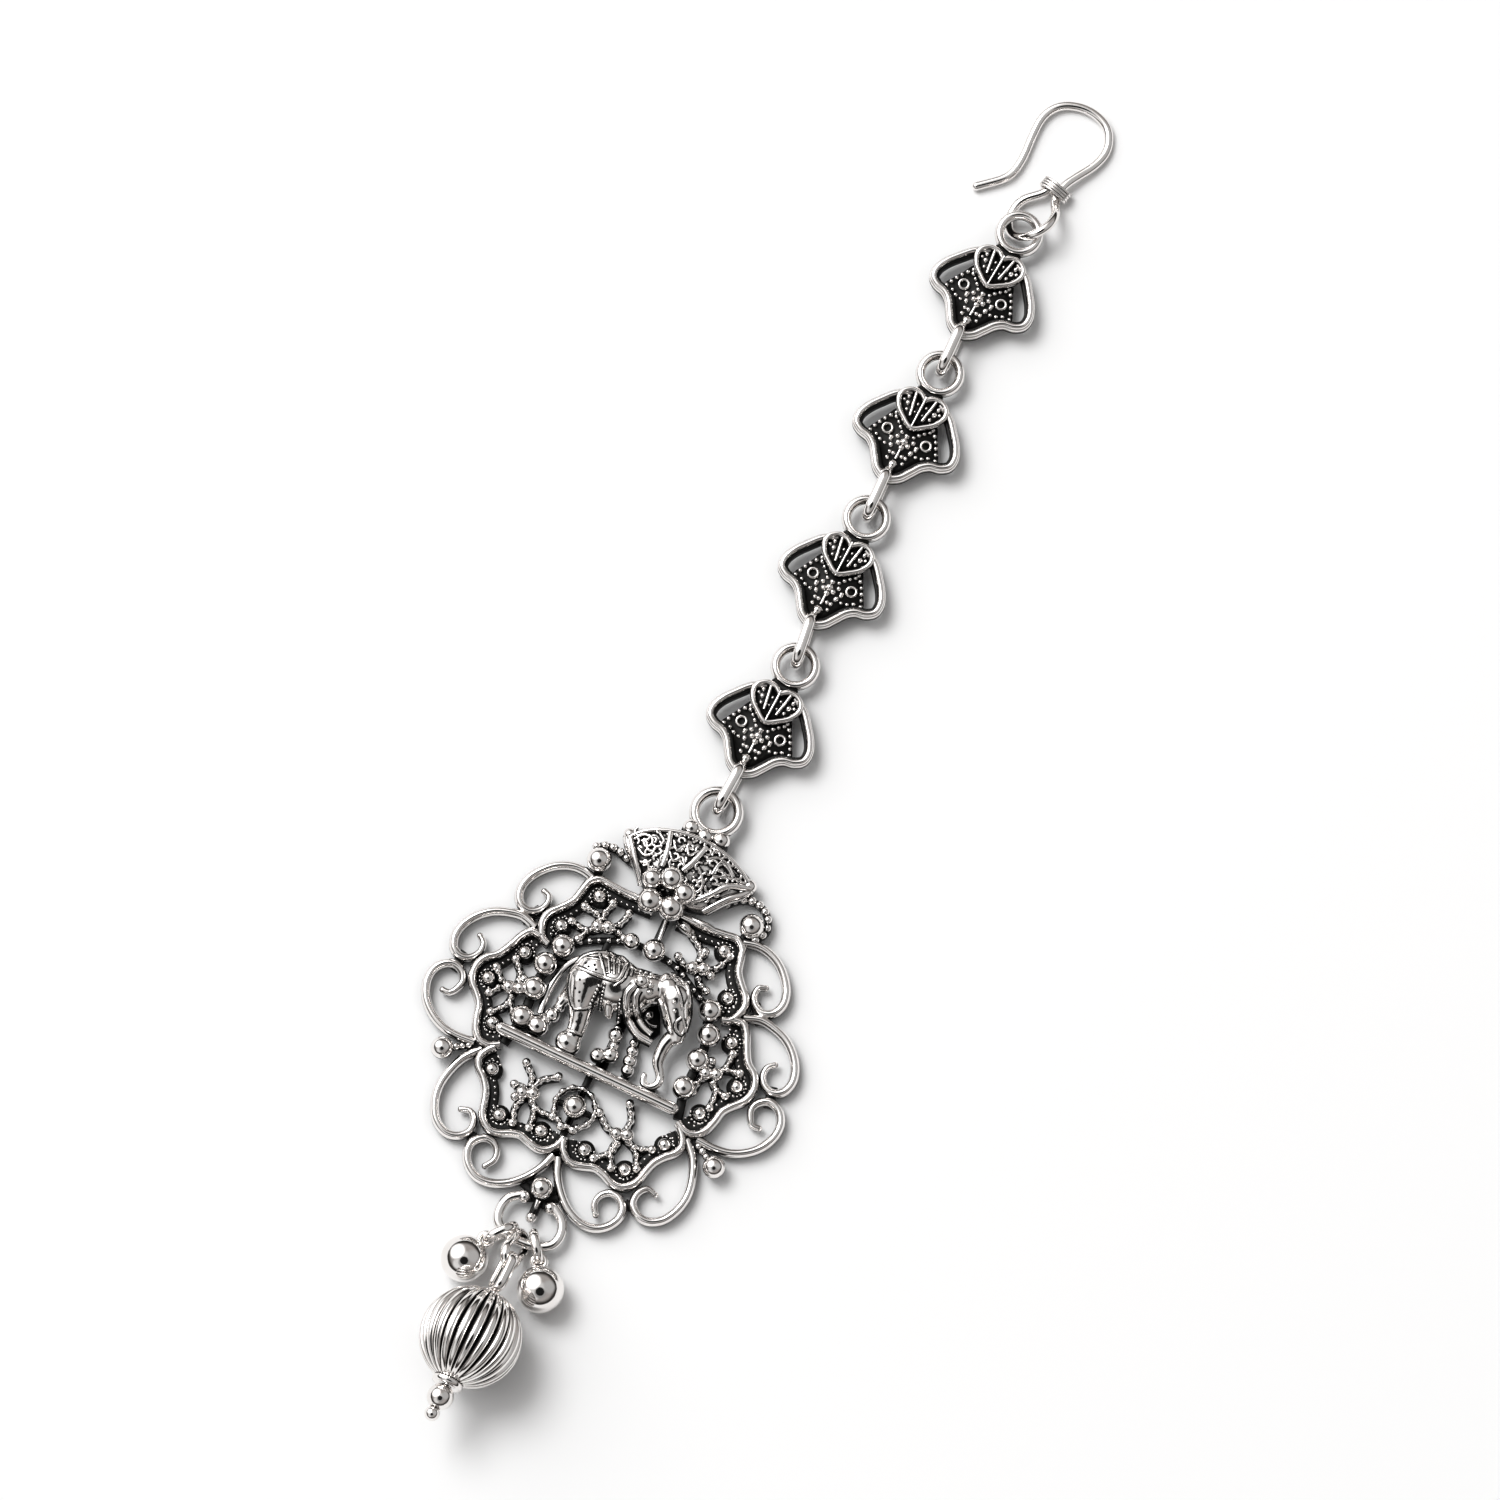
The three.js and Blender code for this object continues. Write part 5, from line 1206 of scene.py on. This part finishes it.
# drops
ballRadius = 2.5
ballDrops = [
    # side, middle of the ball, middle of its eye
    ("left", (-4.0835, -28.0025, ballRadius), (-2.955, -25.212, 1.7)),
    ("right", (4.4296, -27.748, ballRadius), (3.048, -25.074, 1.7)),
]
beadSizes = {"radius": 5.35, "ribs": 24, "groove": 0.18}
beadCap = [(0.7, -5.0), (1.55, -5.05), (1.7, -5.35), (1.62, -5.75), (1.2, -5.8), (0.7, -5.8)]
spacerSizes = {"radius": 1.4, "along": -7.11, "bore": 1.15}
pinSizes = {
    "wire": 0.62,
    "tip": 0.8,
    "ends": (-9.07, 5.6),
    "eye": (4.15, 1.95),
    "eyeSection": (0.72, 1.1),
    "eyeAlong": 7.8,
    "roll": 118,
}
beadFrame = framed((0.16, -35.5, 5.35), ((0.9998, -0.0209, 0), (0.0206, 0.9846, -0.1736),
                                         (0.0036, 0.1736, 0.9848)))


def ribbedTree():
    tree = Tree("ribbedBead", [("Radius", "Float", 1.0), ("Ribs", "Int", 24), ("Groove", "Float", 0.1)])
    source = tree.source
    ball = tree.node("GeometryNodeMeshUVSphere", Segments=480, Rings=96, Radius=1.0)[0]
    position = tree.node("GeometryNodeInputPosition")[0]
    spot = tree.node("ShaderNodeSeparateXYZ", Vector=position)

    def maths(operation, first, second=None):
        values = {"_0": first} if second is None else {"_0": first, "_1": second}
        return tree.node("ShaderNodeMath", {"operation": operation}, **values)[0]

    angle = maths("ARCTAN2", spot[1], spot[0])
    turns = maths("MULTIPLY", angle, maths("MULTIPLY", source["Ribs"], 0.5))
    wave = maths("ABSOLUTE", maths("SINE", turns))
    valley = maths("POWER", maths("SUBTRACT", 1.0, wave), 1.7)
    away = maths("SUBTRACT", 1.0, maths("POWER", maths("ABSOLUTE", spot[2]), 14.0))
    depth = maths("MULTIPLY", maths("MULTIPLY", valley, source["Groove"]), away)
    reach = maths("MULTIPLY", maths("SUBTRACT", 1.0, depth), source["Radius"])
    across = tree.node("ShaderNodeCombineXYZ", X=reach, Y=reach, Z=source["Radius"])[0]
    moved = tree.node("ShaderNodeVectorMath", {"operation": "MULTIPLY"}, _0=position, _1=across)[0]
    return tree.close(tree.node("GeometryNodeSetPosition", Geometry=ball, Position=moved)[0])


def turned(profile, around=48):
    # profile of radius, y: a closed body about Y
    shape = bmesh.new()
    rows = []
    for radius, y in profile:
        rows.append([shape.verts.new((radius * math.cos(t), y, radius * math.sin(t)))
                     for t in np.arange(around) * 2 * math.pi / around])
    for first, second in zip(rows, rows[1:] + rows[:1]):
        for i in range(around):
            j = (i + 1) % around
            shape.faces.new((first[i], first[j], second[j], second[i]))
    bmesh.ops.recalc_face_normals(shape, faces=shape.faces)
    mesh = bpy.data.meshes.new("turned")
    shape.to_mesh(mesh)
    shape.free()
    return mesh


for side, middle, eyeMiddle in ballDrops:
    drop = Piece(brightSilver)
    drop.balls([middle], ballRadius, 64)
    drop.wires([(ovalPath(1.42, 1.42, 40) + eyeMiddle, 1.0, True)], 0.56, 0.75, sides=16)
    drop.finish("ballDrop" + side.capitalize(), "polished", "ball_drop_" + side, low=0.2, high=0.6)

bead = Piece(brightSilver)
melon = grown(ribbedTree(), onePoint, brightSilver, Radius=beadSizes["radius"], Ribs=beadSizes["ribs"],
              Groove=beadSizes["groove"])
bead.add(melon, 1.0, beadFrame @ Matrix.Rotation(math.pi / 2, 4, "X"))
bead.add(turned(beadCap), 1.0, beadFrame)
bead.finish("melonBead", "polished", "melon_bead", reach=1.0, low=0.5, high=0.82)

spacer = Piece(brightSilver)
radius, along = spacerSizes["radius"], spacerSizes["along"]
slants = np.linspace(-spacerSizes["bore"], spacerSizes["bore"], 25)
spacer.add(turned([(radius * math.cos(a), along + radius * math.sin(a)) for a in slants]), 1.0, beadFrame)
spacer.finish("spacerBall", "polished", "spacer_ball", shade=False)

pin = Piece(brightSilver)
tip, top = [beadFrame @ Vector((0, y, 0)) for y in pinSizes["ends"]]
pin.balls([tip], pinSizes["tip"], 32)
pin.wires([[tip, top]], pinSizes["wire"], pinSizes["wire"])
roll = Matrix.Rotation(math.radians(pinSizes["roll"]), 4, "Y")
pin.wires([(ovalPath(*pinSizes["eye"]), 1.0, True)], *pinSizes["eyeSection"], sides=16,
          place=beadFrame @ Matrix.Translation((0, pinSizes["eyeAlong"], 0)) @ roll)
pin.finish("dropPin", "polished", "drop_pin", low=0.2, high=0.6)
print("drops ready")
